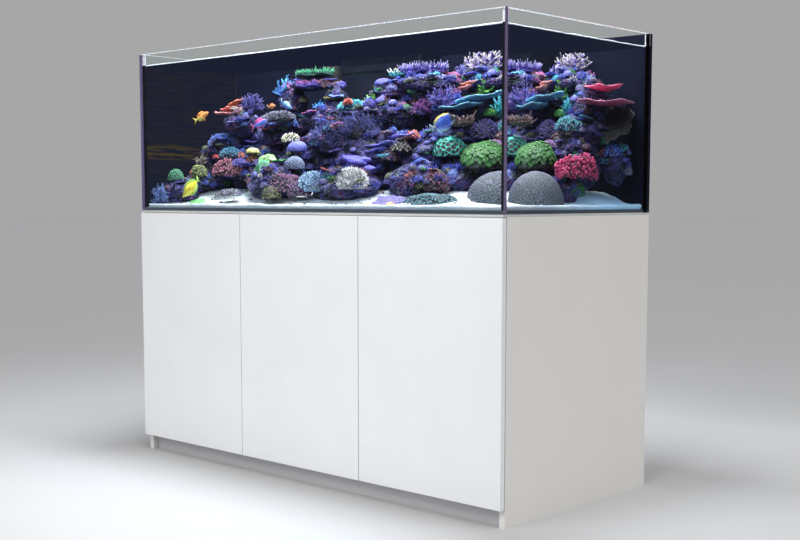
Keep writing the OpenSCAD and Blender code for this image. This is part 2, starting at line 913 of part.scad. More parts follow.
// Simple fish: a flattened body and a tail fin
module fish() {
    color("gold")
        for (s = swimmers)
            translate([s[0], s[1], s[2]])
                rotate(s[4]) {
                    stone(s[3], s[3] * 0.22, s[3] * 0.5, 0);
                    translate([-s[3] * 0.9, 0, 0])
                        rotate([90, 0, 0])
                            linear_extrude(s[3] * 0.12, center = true)
                                polygon([[0, -s[3] * 0.12], [0, s[3] * 0.12],
                                         [-s[3] * 0.5, s[3] * 0.4], [-s[3] * 0.5, -s[3] * 0.4]]);
                }
}

side_panel_left();
side_panel_right();
base_panel();
top_panel();
divider();
front_post();
back_panel_left();
back_panel_right();
back_rails();
plinth_front();
plinth_braces();
shelf();
shelf_pins();
corner_blocks();
door_bumpers();
door_left();
door_middle();
door_right();
hinge_cups_left();
hinge_cups_middle();
hinge_cups_right();
hinge_pins_left();
hinge_pins_middle();
hinge_pins_right();
hinge_arms();
hinge_plates();
latch_housings();
latch_plunger_left();
latch_plunger_middle();
latch_plunger_right();
glass_front();
glass_back();
glass_left();
glass_right();
glass_floor();
tank_seams();
tank_mat();
weir_box();
weir_comb();
weir_lid();
bulkheads();
drain_pipes();
return_pipe();
return_nozzle();
drain_valve();
valve_wheel();
sump_panes();
sump_baffles();
sock_tray();
filter_sock();
skimmer_body();
skimmer_cup();
return_pump();
top_up_reservoir();
sand_bed();
reef_rocks();
dome_corals();
plate_corals();
branching_corals();
fish();
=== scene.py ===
"""Reef aquarium on its stand: finishes for the CAD parts, water, sand, reef, fish, light and camera."""
import math

import bpy
import numpy as np
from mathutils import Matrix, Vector, kdtree


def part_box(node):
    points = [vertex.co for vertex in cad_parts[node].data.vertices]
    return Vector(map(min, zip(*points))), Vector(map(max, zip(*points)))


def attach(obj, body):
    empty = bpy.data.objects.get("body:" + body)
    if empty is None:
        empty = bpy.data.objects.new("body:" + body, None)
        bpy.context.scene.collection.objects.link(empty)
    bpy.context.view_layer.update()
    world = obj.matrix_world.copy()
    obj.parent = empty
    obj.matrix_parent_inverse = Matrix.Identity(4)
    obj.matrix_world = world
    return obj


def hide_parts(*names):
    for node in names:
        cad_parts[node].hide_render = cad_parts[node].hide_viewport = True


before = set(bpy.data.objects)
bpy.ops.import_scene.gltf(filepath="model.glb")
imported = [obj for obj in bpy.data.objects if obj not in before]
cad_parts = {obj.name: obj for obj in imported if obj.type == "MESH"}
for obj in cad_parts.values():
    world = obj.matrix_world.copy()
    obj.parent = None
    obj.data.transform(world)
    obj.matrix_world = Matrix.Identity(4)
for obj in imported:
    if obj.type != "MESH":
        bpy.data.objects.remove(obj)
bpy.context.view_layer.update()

mm = 0.001
GOLDEN = math.pi * (3 - math.sqrt(5))
UP = np.array([0.0, 0.0, 1.0])

# Heights in metres: silicone is painted white above the first, a painted highlight where it catches the
# light, and slate grey below
# FOOT_LINE, and the brown streaks painted as a glow on the water's left end are at STREAK_LINE
SILICONE_LIT_LINE = 1.262
FOOT_LINE = 0.8035
STREAK_LINE = 0.985


def add_object(name, data):
    made = bpy.data.objects.new(name, data)
    bpy.context.scene.collection.objects.link(made)
    return made


def make_camera():
    """Stands to the right of the object, a little over half its height, and looks almost level."""
    lens = bpy.data.cameras.new("camera")
    lens.sensor_width = 36
    lens.lens = 54.83
    lens.shift_x = -0.0089
    lens.shift_y = 0.0548
    lens.clip_start = 0.1
    lens.clip_end = 60
    camera = add_object("camera", lens)
    yaw, pitch, roll = 0.7409, 0.0948, -0.0008
    camera.location = (2.6025, -2.7120, 0.8342)
    camera.rotation_euler = (math.pi / 2 - pitch, roll, yaw)
    bpy.context.scene.camera = camera


make_camera()

# ---- node trees

def fresh_material(name):
    """A new material with its node tree and its Principled shader."""
    material = bpy.data.materials.new(name)
    material.use_nodes = True
    tree = material.node_tree
    return material, tree, tree.nodes["Principled BSDF"]


def feed(made, inputs):
    """Links each input that is given as a socket, and sets any other."""
    for key, value in inputs.items():
        if isinstance(value, bpy.types.NodeSocket):
            made.id_data.links.new(value, made.inputs[key])
        else:
            made.inputs[key].default_value = value


def give(shader, **values):
    """Feeds a shader's inputs by their names, with _ for each blank."""
    feed(shader, {key.replace("_", " "): value for key, value in values.items()})


def node(tree, kind, inputs=None, **settings):
    """Adds a node, sets it up and feeds its inputs."""
    made = tree.nodes.new(kind)
    for key, value in settings.items():
        setattr(made, key, value)
    feed(made, inputs or {})
    return made


def place_of(tree):
    return node(tree, "ShaderNodeTexCoord").outputs["Object"]


def stretched(tree, scale):
    """The object's own coordinates, stretched so that a texture runs long one way."""
    return node(tree, "ShaderNodeMapping", {"Vector": place_of(tree), "Scale": scale}).outputs["Vector"]


def parts_of(tree, vector):
    return node(tree, "ShaderNodeSeparateXYZ", {0: vector}).outputs


def noise(tree, vector, scale, detail=4.0, rough=0.55):
    made = node(tree, "ShaderNodeTexNoise", {"Vector": vector, "Scale": scale, "Detail": detail,
                                             "Roughness": rough})
    return made.outputs["Fac"]


def spots(tree, vector, scale):
    """Distance from the middle of the nearest random cell."""
    return node(tree, "ShaderNodeTexVoronoi", {"Vector": vector, "Scale": scale}).outputs["Distance"]


def spread(tree, value, low, high, new_low, new_high):
    """Maps low..high to new_low..new_high, kept between them."""
    made = node(tree, "ShaderNodeMapRange", {"Value": value, "From Min": low, "From Max": high,
                                             "To Min": new_low, "To Max": new_high})
    return made.outputs["Result"]


def maths(tree, operation, a, b=0.0):
    return node(tree, "ShaderNodeMath", {0: a, 1: b}, operation=operation).outputs[0]


def is_level(tree, normal):
    """One on level faces and zero on upright ones."""
    return maths(tree, "GREATER_THAN", maths(tree, "ABSOLUTE", normal["Z"]), 0.5)


def mixed(tree, factor, a, b, blend="MIX"):
    """Mixes two colours, each a socket or three numbers."""
    a, b = (c if isinstance(c, bpy.types.NodeSocket) else (*c, 1) for c in (a, b))
    made = node(tree, "ShaderNodeMix", {0: factor, 6: a, 7: b}, data_type="RGBA", blend_type=blend)
    return made.outputs[2]


def either(tree, share, first, second):
    """Mixes two shader nodes."""
    return node(tree, "ShaderNodeMixShader", {0: share, 1: first.outputs[0], 2: second.outputs[0]})


def bumped(tree, height, strength, distance):
    made = node(tree, "ShaderNodeBump", {"Height": height, "Strength": strength, "Distance": distance})
    return made.outputs["Normal"]


def show(tree, last):
    """Makes a shader node the one that the material shows."""
    give(tree.nodes["Material Output"], Surface=last.outputs[0])


# ---- finishes of the CAD parts

def plain_finish(name, light, dark, rough, scale=30.0, depth=0.0001, coat=0.0, metal=0.0,
                 grain=(1, 1, 1), strength=0.3, shine=0.5):
    """A finish whose colour, gloss and height all waver a little."""
    material, tree, shader = fresh_material(name)
    where = stretched(tree, grain)
    broad = spread(tree, noise(tree, where, scale * 0.1, 3), 0.3, 0.7, 0, 1)
    fine = noise(tree, where, scale * 10, 5)
    give(shader, Base_Color=mixed(tree, broad, dark, light), Metallic=metal, Coat_Weight=coat,
         Roughness=spread(tree, fine, 0.3, 0.7, rough * 0.85, rough * 1.2), Coat_Roughness=0.08,
         Normal=bumped(tree, fine, strength, depth), Specular_IOR_Level=shine)
    return material


def translucent_finish(name, colour, rough, amount):
    """Thin plastic or glass seen as partly clear: a tinted film with a soft sheen."""
    material, tree, shader = fresh_material(name)
    fine = noise(tree, place_of(tree), 60, 3)
    give(shader, Base_Color=mixed(tree, fine, colour, [c * 0.9 for c in colour]), Alpha=amount,
         Roughness=spread(tree, fine, 0.3, 0.7, rough, rough * 1.5), IOR=1.49,
         Normal=bumped(tree, fine, 0.1, 0.0002))
    return material


def pane_finish(name, axis, edge_colour):
    """Clear pane. axis is square to its large faces. Its level ground edges are painted pale and glow: a
    painted highlight.
    """
    material, tree, shader = fresh_material(name)
    shape = node(tree, "ShaderNodeNewGeometry").outputs
    normal = parts_of(tree, shape["True Normal"])
    facing = maths(tree, "GREATER_THAN", maths(tree, "ABSOLUTE", normal[axis]), 0.5)
    lit_level_edges = is_level(tree, normal)
    fresnel = node(tree, "ShaderNodeFresnel", {"IOR": 1.5}).outputs[0]
    front = maths(tree, "SUBTRACT", 1.0, shape["Backfacing"])
    clear = node(tree, "ShaderNodeBsdfTransparent", {"Color": (0.965, 0.985, 0.98, 1)})
    smear = spread(tree, noise(tree, place_of(tree), 4, 4), 0.3, 0.7, 0.0, 0.03)
    mirror = node(tree, "ShaderNodeBsdfGlossy", {"Roughness": smear})
    pane = either(tree, maths(tree, "MULTIPLY", fresnel, front), clear, mirror)
    ground = noise(tree, place_of(tree), 900, 3)
    # Level edges are painted pale and given an emission glow: a painted highlight, though they are no lamp.
    tint = mixed(tree, lit_level_edges, edge_colour, (0.95, 0.97, 1.0))
    give(shader, Base_Color=mixed(tree, ground, tint, mixed(tree, 0.12, tint, (0, 0, 0))),
         Roughness=spread(tree, ground, 0.3, 0.7, 0.3, 0.45), Emission_Color=tint,
         Emission_Strength=spread(tree, lit_level_edges, 0, 1, 0.0, 0.55))
    show(tree, either(tree, facing, shader, pane))
    return material


def felt_finish():
    material, tree, shader = fresh_material("felt")
    fibres = noise(tree, place_of(tree), 700, 6, 0.7)
    give(shader, Base_Color=mixed(tree, fibres, (0.62, 0.62, 0.6), (0.86, 0.86, 0.84)),
         Roughness=spread(tree, fibres, 0.3, 0.7, 0.85, 1.0), Sheen_Weight=0.4,
         Normal=bumped(tree, fibres, 0.8, 0.0008))
    return material


def silicone_finish():
    """Dark silicone, painted white above the water as a painted highlight where it catches the light, and
    slate grey along the tank's foot.
    """
    material = plain_finish("silicone", (0.012, 0.012, 0.02), (0.008, 0.008, 0.012), 0.35, scale=50,
                            shine=0.15)
    tree = material.node_tree
    shader = tree.nodes["Principled BSDF"]
    height = parts_of(tree, place_of(tree))["Z"]
    black = shader.inputs["Base Color"].links[0].from_socket
    lower = mixed(tree, maths(tree, "LESS_THAN", height, FOOT_LINE), black, (0.12, 0.145, 0.19))
    # Above the water the silicone is painted white: a painted highlight.
    painted_lit_silicone = maths(tree, "GREATER_THAN", height, SILICONE_LIT_LINE)
    give(shader, Base_Color=mixed(tree, painted_lit_silicone, lower, (0.9, 0.92, 0.95)))
    return material


def paint(names, material):
    """Gives CAD nodes a finish in every slot they have."""
    for name in names.split():
        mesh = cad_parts[name].data
        if not mesh.materials:
            mesh.materials.append(material)
        for i in range(len(mesh.materials)):
            mesh.materials[i] = material


paint("door_left door_middle door_right",
      plain_finish("door_lacquer", (0.85, 0.855, 0.862), (0.82, 0.83, 0.842), 0.3, coat=0.15,
                   scale=60, depth=0.00004, strength=0.1))
paint("side_panel_left side_panel_right back_panel_left back_panel_right back_rails",
      plain_finish("cabinet_laminate", (0.81, 0.785, 0.75), (0.78, 0.755, 0.72), 0.38,
                   depth=0.00008, grain=(1, 1, 0.2)))
paint("base_panel top_panel divider front_post shelf",
      plain_finish("inner_laminate", (0.8, 0.8, 0.79), (0.76, 0.76, 0.75), 0.4, grain=(0.3, 1, 1)))
paint("plinth_front plinth_braces",
      plain_finish("plinth_laminate", (0.56, 0.56, 0.57), (0.52, 0.52, 0.53), 0.42, grain=(0.2, 1, 1)))
paint("hinge_cups_left hinge_cups_middle hinge_cups_right hinge_arms hinge_plates shelf_pins",
      plain_finish("hinge_steel", (0.72, 0.73, 0.74), (0.62, 0.63, 0.65), 0.25, metal=1.0,
                   grain=(1, 1, 8)))
paint("hinge_pins_left hinge_pins_middle hinge_pins_right",
      plain_finish("pin_steel", (0.5, 0.5, 0.52), (0.42, 0.42, 0.44), 0.3, metal=1.0, grain=(6, 6, 1)))
paint("corner_blocks latch_housings latch_plunger_left latch_plunger_middle latch_plunger_right",
      plain_finish("white_plastic", (0.82, 0.82, 0.8), (0.78, 0.78, 0.76), 0.42))
paint("door_bumpers", plain_finish("soft_bumper", (0.75, 0.75, 0.73), (0.7, 0.7, 0.68), 0.6))
paint("glass_back",
      plain_finish("black_glass", (0.0078, 0.0098, 0.0225), (0.0068, 0.0085, 0.0195), 0.32,
                   depth=0.00003, shine=0.08))
paint("glass_floor",
      plain_finish("floor_glass", (0.13, 0.16, 0.21), (0.1, 0.13, 0.18), 0.3, depth=0.00003))
paint("glass_front", pane_finish("pane_across", "Y", (0.17, 0.13, 0.25)))
paint("glass_left glass_right", pane_finish("pane_along", "X", (0.16, 0.13, 0.24)))
paint("tank_seams", silicone_finish())
paint("tank_mat",
      plain_finish("foam_mat", (0.58, 0.58, 0.57), (0.5, 0.5, 0.49), 0.85, scale=120, depth=0.0006,
                   strength=0.7))
paint("weir_box weir_comb weir_lid",
      plain_finish("black_acrylic", (0.012, 0.014, 0.024), (0.008, 0.01, 0.018), 0.12, depth=0.00003))
paint("bulkheads drain_pipes return_pipe drain_valve",
      plain_finish("grey_pvc", (0.22, 0.23, 0.25), (0.18, 0.19, 0.21), 0.4))
paint("return_nozzle return_pump skimmer_body",
      plain_finish("black_plastic", (0.022, 0.022, 0.026), (0.014, 0.014, 0.018), 0.45, scale=80,
                   depth=0.0002))
paint("valve_wheel", plain_finish("red_plastic", (0.6, 0.03, 0.02), (0.5, 0.02, 0.015), 0.35))
paint("sump_panes sump_baffles", translucent_finish("sump_glass", (0.55, 0.68, 0.68), 0.05, 0.3))
paint("sock_tray skimmer_cup top_up_reservoir",
      translucent_finish("clear_acrylic", (0.75, 0.8, 0.85), 0.06, 0.35))
paint("filter_sock", felt_finish())

# ---- finishes of the contents

def living_finish(name, rough, density, depth, strength=0.6, wet=0.08, deep=1.22):
    """Skin that takes its colour from the mesh's tint, with fine polyps that vary and raise it."""
    material, tree, shader = fresh_material(name)
    where = place_of(tree)
    given = node(tree, "ShaderNodeAttribute", attribute_name="tint").outputs["Color"]
    tint = node(tree, "ShaderNodeGamma", {"Color": given, "Gamma": deep}).outputs[0]
    dots = spread(tree, spots(tree, where, density), 0.1, 0.7, 1, 0)
    shade = noise(tree, where, 90, 5)
    dark = mixed(tree, 1.0, tint, (0.55, 0.5, 0.62), "MULTIPLY")
    colour = mixed(tree, spread(tree, shade, 0.35, 0.65, 0, 1), dark, tint)
    height = maths(tree, "ADD", dots, maths(tree, "MULTIPLY", shade, 0.6))
    give(shader, Base_Color=mixed(tree, maths(tree, "MULTIPLY", dots, 0.12), colour, (0.85, 0.9, 0.95)),
         Roughness=spread(tree, shade, 0.3, 0.7, rough * 0.8, rough * 1.2), Coat_Weight=wet,
         Coat_Roughness=0.2, Normal=bumped(tree, height, strength, depth))
    return material


def rock_finish():
    """Live rock: dark stone under patches of purple, blue, rose and olive crust."""
    material, tree, shader = fresh_material("reef_rock")
    where = place_of(tree)
    patches = noise(tree, where, 26, 6, 0.65)
    other = noise(tree, stretched(tree, (1.3, 0.8, 1.1)), 48, 5, 0.6)
    pits = spots(tree, where, 110)
    ramp = node(tree, "ShaderNodeValToRGB", {0: patches})
    stops = [(0.34, (0.004, 0.004, 0.010)), (0.46, (0.012, 0.010, 0.040)), (0.53, (0.045, 0.030, 0.17)),
             (0.57, (0.015, 0.030, 0.14)), (0.62, (0.13, 0.035, 0.12)), (0.70, (0.020, 0.015, 0.03))]
    while len(ramp.color_ramp.elements) < len(stops):
        ramp.color_ramp.elements.new(0.5)
    for element, (position, colour) in zip(ramp.color_ramp.elements, stops):
        element.position = position
        element.color = (*colour, 1)
    accent = mixed(tree, spread(tree, other, 0.58, 0.68, 0, 1), ramp.outputs["Color"], (0.10, 0.16, 0.14))
    # The pits are darkened towards near black: painted shade in the hollows.
    dark = spread(tree, pits, 0.05, 0.4, 0.6, 0)
    give(shader, Base_Color=mixed(tree, dark, accent, (0.01, 0.008, 0.015)),
         Roughness=spread(tree, other, 0.3, 0.7, 0.6, 0.9),
         Normal=bumped(tree, maths(tree, "ADD", patches, pits), 1.0, 0.012))
    return material


def sand_finish():
    """Coral sand: pale grains with darker bits. The far right corner is painted bluish and glows though it
    is no lamp: painted light.
    """
    material, tree, shader = fresh_material("sand")
    where = place_of(tree)
    grains = spots(tree, where, 420)
    drift = noise(tree, where, 9, 4)
    specks = spread(tree, noise(tree, where, 130, 2), 0.68, 0.74, 0, 0.5)
    pale = mixed(tree, spread(tree, drift, 0.35, 0.65, 0, 1), (0.72, 0.80, 0.86), (0.90, 0.92, 0.92))
    grainy = mixed(tree, spread(tree, grains, 0.2, 0.7, 0, 0.25), pale, (0.55, 0.6, 0.66))
    at = parts_of(tree, where)
    # Painted light in the far right corner: a bluish tint and an emission glow.
    right = spread(tree, at["X"], 0.45, 0.62, 0, 1)
    blue = maths(tree, "MULTIPLY", right, spread(tree, at["Y"], -0.05, 0.15, 0, 0.75))
    painted_corner_glow = maths(tree, "MULTIPLY", right, spread(tree, at["Y"], -0.15, 0.12, 0, 0.30))
    shaded = mixed(tree, blue, grainy, (0.40, 0.70, 0.95))
    give(shader, Base_Color=mixed(tree, specks, shaded, (0.16, 0.2, 0.3)),
         Roughness=spread(tree, drift, 0.3, 0.7, 0.8, 0.95), Emission_Strength=painted_corner_glow,
         Emission_Color=(0.36, 0.60, 0.92, 1), Normal=bumped(tree, grains, 0.5, 0.0015))
    return material


def water_finish():
    """Water that bends what is seen through it, save its top and left end seen from inside, which show a
    painted glow. Lamps light what is in it mostly from above.
    """
    material, tree, shader = fresh_material("water")
    tree.nodes.remove(shader)
    shape = node(tree, "ShaderNodeNewGeometry").outputs
    normal = parts_of(tree, shape["True Normal"])
    level = is_level(tree, normal)
    left = maths(tree, "GREATER_THAN", normal["X"], 0.5)
    ripple = maths(tree, "MULTIPLY", noise(tree, place_of(tree), 7, 3), level)
    wet = node(tree, "ShaderNodeBsdfGlass", {"Color": (0.985, 0.995, 1.0, 1), "Roughness": 0.0,
                                             "IOR": 1.333, "Normal": bumped(tree, ripple, 0.25, 0.01)})
    # Seen from inside, the top and the left end don't bend light but show a flat painted glow: dark navy,
    # with brown streaks painted round STREAK_LINE on the left end.
    inside = maths(tree, "MULTIPLY", maths(tree, "MAXIMUM", level, left), shape["Backfacing"])
    streaks = spread(tree, noise(tree, stretched(tree, (1, 1.5, 40)), 3, 5), 0.40, 0.60, 0, 0.8)
    height = parts_of(tree, place_of(tree))["Z"]
    off = maths(tree, "ABSOLUTE", maths(tree, "SUBTRACT", height, STREAK_LINE))
    band = maths(tree, "MULTIPLY", spread(tree, off, 0.012, 0.03, 1, 0.12), left)
    painted_inner_glow_colour = mixed(tree, maths(tree, "MULTIPLY", streaks, band), (0.011, 0.0138, 0.032),
                 (0.085, 0.060, 0.016))
    painted_inner_glow = node(tree, "ShaderNodeEmission", {"Color": painted_inner_glow_colour, "Strength": 1.0})
    dimming = mixed(tree, level, (0.50, 0.54, 0.62), (0.985, 0.995, 1.0))
    clear = node(tree, "ShaderNodeBsdfTransparent", {"Color": dimming})
    path = node(tree, "ShaderNodeLightPath").outputs
    passing = maths(tree, "MAXIMUM", path["Is Shadow Ray"], path["Is Diffuse Ray"])
    show(tree, either(tree, passing, either(tree, inside, wet, painted_inner_glow), clear))
    return material


CORAL = living_finish("coral_skin", 0.55, 330, 0.0012)
SOFT = living_finish("soft_coral_skin", 0.5, 160, 0.0008, strength=0.35)
SCALES = living_finish("fish_scales", 0.32, 420, 0.0003, strength=0.3, wet=0.6, deep=1.0)
ROCK = rock_finish()
SAND = sand_finish()
WATER = water_finish()
# The waterline's pale colour is a painted highlight where the water's edge catches the light.
WATERLINE = plain_finish("waterline", (0.85, 0.88, 0.92), (0.75, 0.8, 0.88), 0.2, scale=40)
paint("sand_bed", SAND)
paint("reef_rocks dome_corals plate_corals branching_corals fish", ROCK)

# ---- mesh helpers, all in metres

def eased(t):
    t = np.clip(t, 0, 1)
    return t * t * (3 - 2 * t)


def field(points, size, seed):
    """Smooth noise from -1 to 1 at each point, with lumps of about the given size."""
    at = points / size + 31.7 * seed
    cell = np.floor(at)
    part = eased(at - cell)
    total = np.zeros(len(at))
    for corner in np.ndindex(2, 2, 2):
        value = np.sin((cell + corner) @ np.array([12.9898, 78.233, 37.719])) * 43758.5453
        share = np.where(corner, part, 1 - part).prod(axis=1)
        total += share * (value - np.floor(value))
    return total * 2 - 1


def layered(points, size, seed, layers=3):
    """Noise of several sizes, each half as large and half as strong as the one before."""
    return sum(field(points, size / 2 ** k, seed + k) / 2 ** k for k in range(layers))


def unit(vectors):
    return vectors / np.maximum(np.linalg.norm(vectors, axis=-1, keepdims=True), 1e-9)


def across(ways):
    """Two unit vectors square to each direction."""
    side = np.where(np.abs(ways[:, 2:]) < 0.9, UP, np.array([1.0, 0, 0]))
    a = unit(np.cross(ways, side))
    return a, np.cross(ways, a)


def ring_of(a, b, count):
    """Evenly spaced unit vectors round a circle, from each a towards its b."""
    turn = (2 * np.pi * np.arange(count) / count)[:, None]
    return np.cos(turn) * a[:, None] + np.sin(turn) * b[:, None]


def ball_points(count, lowest=0.0):
    """Evenly spread unit vectors, from straight up down to the given height."""
    k = np.arange(count)
    z = 1 - (1 - lowest) * (k + 0.5) / count
    r = np.sqrt(1 - z * z)
    return np.stack([r * np.cos(GOLDEN * k), r * np.sin(GOLDEN * k), z], axis=1)


def blended(root, tip, share):
    """Colour for each point between root and tip."""
    share = np.asarray(share)[:, None]
    return np.array(root) * (1 - share) + np.array(tip) * share


def tube_faces(rows, around):
    """Faces of a closed tube of points, rows first: its quads, its first end and its last end."""
    i, j = np.meshgrid(np.arange(rows - 1), np.arange(around), indexing="ij")
    k = (j + 1) % around
    quads = np.stack([i * around + j, i * around + k, (i + 1) * around + k, (i + 1) * around + j], axis=-1)
    first = np.arange(around)
    return [quads.reshape(-1, 4), first[::-1][None], ((rows - 1) * around + first)[None]]


def repeated(faces, count, per):
    """The same faces on count forms of per points each."""
    first = per * np.arange(count)[:, None, None]
    return [(first + group).reshape(-1, group.shape[1]) for group in faces]


class Growth:
    """Points, faces and colours gathered from many small forms."""

    def __init__(self):
        self.points, self.faces, self.tints = [], [], []
        self.count = 0

    def add(self, points, faces, tints):
        self.points.append(points)
        self.tints.append(np.broadcast_to(tints, (len(points), 3)))
        for group in faces:
            self.faces.extend((group + self.count).tolist())
        self.count += len(points)

    def make(self, name, finish, slot, replaced=None, smooth=True):
        """Turns what was gathered into a piece that rides on the aquarium."""
        mesh = bpy.data.meshes.new(name)
        mesh.from_pydata(np.concatenate(self.points).tolist(), [], self.faces)
        colours = np.ones((self.count, 4), np.float32)
        colours[:, :3] = np.concatenate(self.tints)
        layer = mesh.color_attributes.new("tint", "FLOAT_COLOR", "POINT")
        layer.data.foreach_set("color", colours.ravel())
        mesh.materials.append(finish)
        mesh.polygons.foreach_set("use_smooth", [smooth] * len(mesh.polygons))
        mesh.update()
        piece = add_object(name, mesh)
        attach(piece, "aquarium")
        if replaced:
            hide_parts(replaced)


def branches(growth, start, end, foot, tip, root_tint, tip_tint, rng, sides=5, rings=4, bow=0.08,
             paler=2.5):
    """Adds tapered branches with round ends, one from each start to its end."""
    n = len(start)
    way = end - start
    length = np.linalg.norm(way, axis=1)[:, None]
    a, b = across(unit(way))
    t = np.linspace(0, 1, rings)
    lean = rng.normal(0, bow, (n, 2))
    side = lean[:, :1] * a + lean[:, 1:] * b
    axis = start[:, None] + way[:, None] * t[None, :, None]
    axis = axis + (np.sin(np.pi * t) * length)[:, :, None] * side[:, None]
    foot = np.broadcast_to(foot, (n,))[:, None]
    tip = np.broadcast_to(tip, (n,))[:, None]
    radius = (foot + (tip - foot) * t) * rng.uniform(0.85, 1.15, (n, rings))
    radius[:, -1] *= 0.6
    skin = axis[:, :, None] + radius[:, :, None, None] * ring_of(a, b, sides)[:, None]
    cap = end + unit(way) * tip * 0.5
    per = rings * sides + 1
    points = np.concatenate([skin.reshape(n, rings * sides, 3), cap[:, None]], axis=1)
    quads, base, last = tube_faces(rings, sides)
    point = np.stack([last[0], np.roll(last[0], -1), np.full(sides, per - 1)], axis=-1)
    # Colour stays near the root colour low down and pales at the tip: the tips' own colour, with painted
    # shade kept on the lower part.
    share = np.append(np.repeat(t, sides), 1.0) ** paler
    tints = blended(root_tint, tip_tint, np.tile(share, n))
    tints = tints * np.repeat(rng.uniform(0.75, 1.2, n), per)[:, None]
    growth.add(points.reshape(-1, 3), repeated([quads, point, base], n, per), tints)


# Unit balls made so far, by level
BALLS = {}


def ball(level):
    """Points and triangles of a unit ball, split level times from an icosahedron."""
    if level not in BALLS:
        g = (1 + 5 ** 0.5) / 2
        points = [(-1, g, 0), (1, g, 0), (-1, -g, 0), (1, -g, 0), (0, -1, g), (0, 1, g),
                  (0, -1, -g), (0, 1, -g), (g, 0, -1), (g, 0, 1), (-g, 0, -1), (-g, 0, 1)]
        points = unit(np.array(points, float))
        faces = np.array([(0, 11, 5), (0, 5, 1), (0, 1, 7), (0, 7, 10), (0, 10, 11), (1, 5, 9),
                          (5, 11, 4), (11, 10, 2), (10, 7, 6), (7, 1, 8), (3, 9, 4), (3, 4, 2),
                          (3, 2, 6), (3, 6, 8), (3, 8, 9), (4, 9, 5), (2, 4, 11), (6, 2, 10),
                          (8, 6, 7), (9, 8, 1)])
        for _ in range(level):
            edges = np.sort(faces[:, [0, 1, 1, 2, 2, 0]].reshape(-1, 2), axis=1)
            kept, which = np.unique(edges, axis=0, return_inverse=True)
            which = which.reshape(-1, 3) + len(points)
            points = np.concatenate([points, unit(points[kept].sum(axis=1))])
            a, b, c = faces.T
            ab, bc, ca = which.T
            faces = np.concatenate([np.stack(f, axis=1) for f in
                                    ((a, ab, ca), (b, bc, ab), (c, ca, bc), (ab, bc, ca))])
        BALLS[level] = (points, faces)
    return BALLS[level]


def mound(growth, place, size, tint, rng):
    """Lumpy mound with a flat base."""
    points, faces = ball(3)
    lump = 1 + 0.1 * layered(points, 0.6, rng.uniform(0, 9))[:, None]
    skin = points * size * lump
    skin[:, 2] = np.maximum(skin[:, 2], -0.35 * size[2])
    growth.add(skin + place, [faces], np.array(tint))


# ---- growth forms, all given in millimetres

def metres(values):
    return np.array(values, float) * mm


def bush(growth, rng, place, crown, height, root, tip, stems, thick, twigs=5, lean=(0, 0)):
    """Branching coral: stems fan out from a foot and end in paler twigs."""
    foot, crown, height, thick = metres(place), crown * mm, height * mm, thick * mm
    ways = ball_points(stems, 0.12)
    ways = unit(ways + rng.normal(0, 0.12, ways.shape))
    reach = rng.uniform(0.75, 1.0, (stems, 1))
    ends = foot + reach * ways * np.array([crown, crown, height]) + np.array([*lean, 0]) * crown
    starts = foot + (ends - foot) * 0.06
    branches(growth, starts, ends, thick, thick * 0.6, root, tip, rng, sides=6, rings=5)
    along = rng.uniform(0.35, 0.95, (stems, twigs, 1))
    roots = starts[:, None] + (ends - starts)[:, None] * along
    ways = ways[:, None] + rng.normal(0, 0.55, (stems, twigs, 3)) + np.array([0, 0, 0.25])
    longs = crown * rng.uniform(0.16, 0.34, (stems, twigs, 1))
    tips = (roots + unit(ways) * longs).reshape(-1, 3)
    tips[:, 2] = np.maximum(tips[:, 2], foot[2] - 0.1 * height)
    branches(growth, roots.reshape(-1, 3), tips, thick * 0.55, thick * 0.4, root, tip, rng)


def rooted_bush(growth, rng, place, crown, height, root, tip, stems, thick):
    """A bush on a mound painted dark: painted shade at its foot."""
    bush(growth, rng, place, crown, height, root, tip, stems, thick)
    foot = metres((crown * 0.35, crown * 0.35, height * 0.3))
    mound(growth, metres(place), foot, np.array(root) * 0.5, rng)


def plate(growth, rng, place, radius, rise, inner, rim, tilt, squash, thick=4.5):
    """Thin wavy plate that lifts towards its rim."""
    radius, rise = radius * mm, rise * mm
    rings, around, waves = 16, 64, 5
    r = np.linspace(0.04, 1, rings)[:, None]
    turn = (2 * np.pi * np.arange(around) / around)[None]
    phase = rng.uniform(0, 6.28, 3)
    frill = 1 + 0.10 * np.sin(waves * turn + phase[0]) + 0.07 * np.sin((2 * waves + 1) * turn + phase[1])
    x = r * frill * np.cos(turn) * radius
    y = r * frill * np.sin(turn) * radius * squash
    z = rise * r ** 2 + 0.045 * radius * r ** 2 * np.sin((waves - 1) * turn + phase[2])
    z = z + tilt[0] * x + tilt[1] * y
    top = np.stack([x, y, z], axis=-1)
    rough = layered(top.reshape(-1, 3), 0.014, rng.uniform(0, 9)).reshape(rings, around)
    top[..., 2] += 1.8 * mm * rough
    low = top.copy()
    low[..., 2] -= thick * mm * (1.25 - 0.7 * r)
    skin = np.concatenate([top, low[::-1]]).reshape(-1, 3) + metres(place)
    shares = np.repeat(np.concatenate([r[:, 0], r[::-1, 0]]), around) ** 4
    shades = 1 + 0.3 * np.concatenate([rough, rough[::-1]]).ravel()
    growth.add(skin, tube_faces(2 * rings, around), blended(inner, rim, shares) * shades[:, None])


def disc(growth, rng, x, y, radius, height, inner, rim, squash):
    """Flat coral that lies on the sand and faces the front."""
    place = (x, y, sand_height(x * mm, y * mm) / mm + height)
    plate(growth, rng, place, radius, -0.4 * height, inner, rim, (0, 0.42), squash, 0.8 * height)


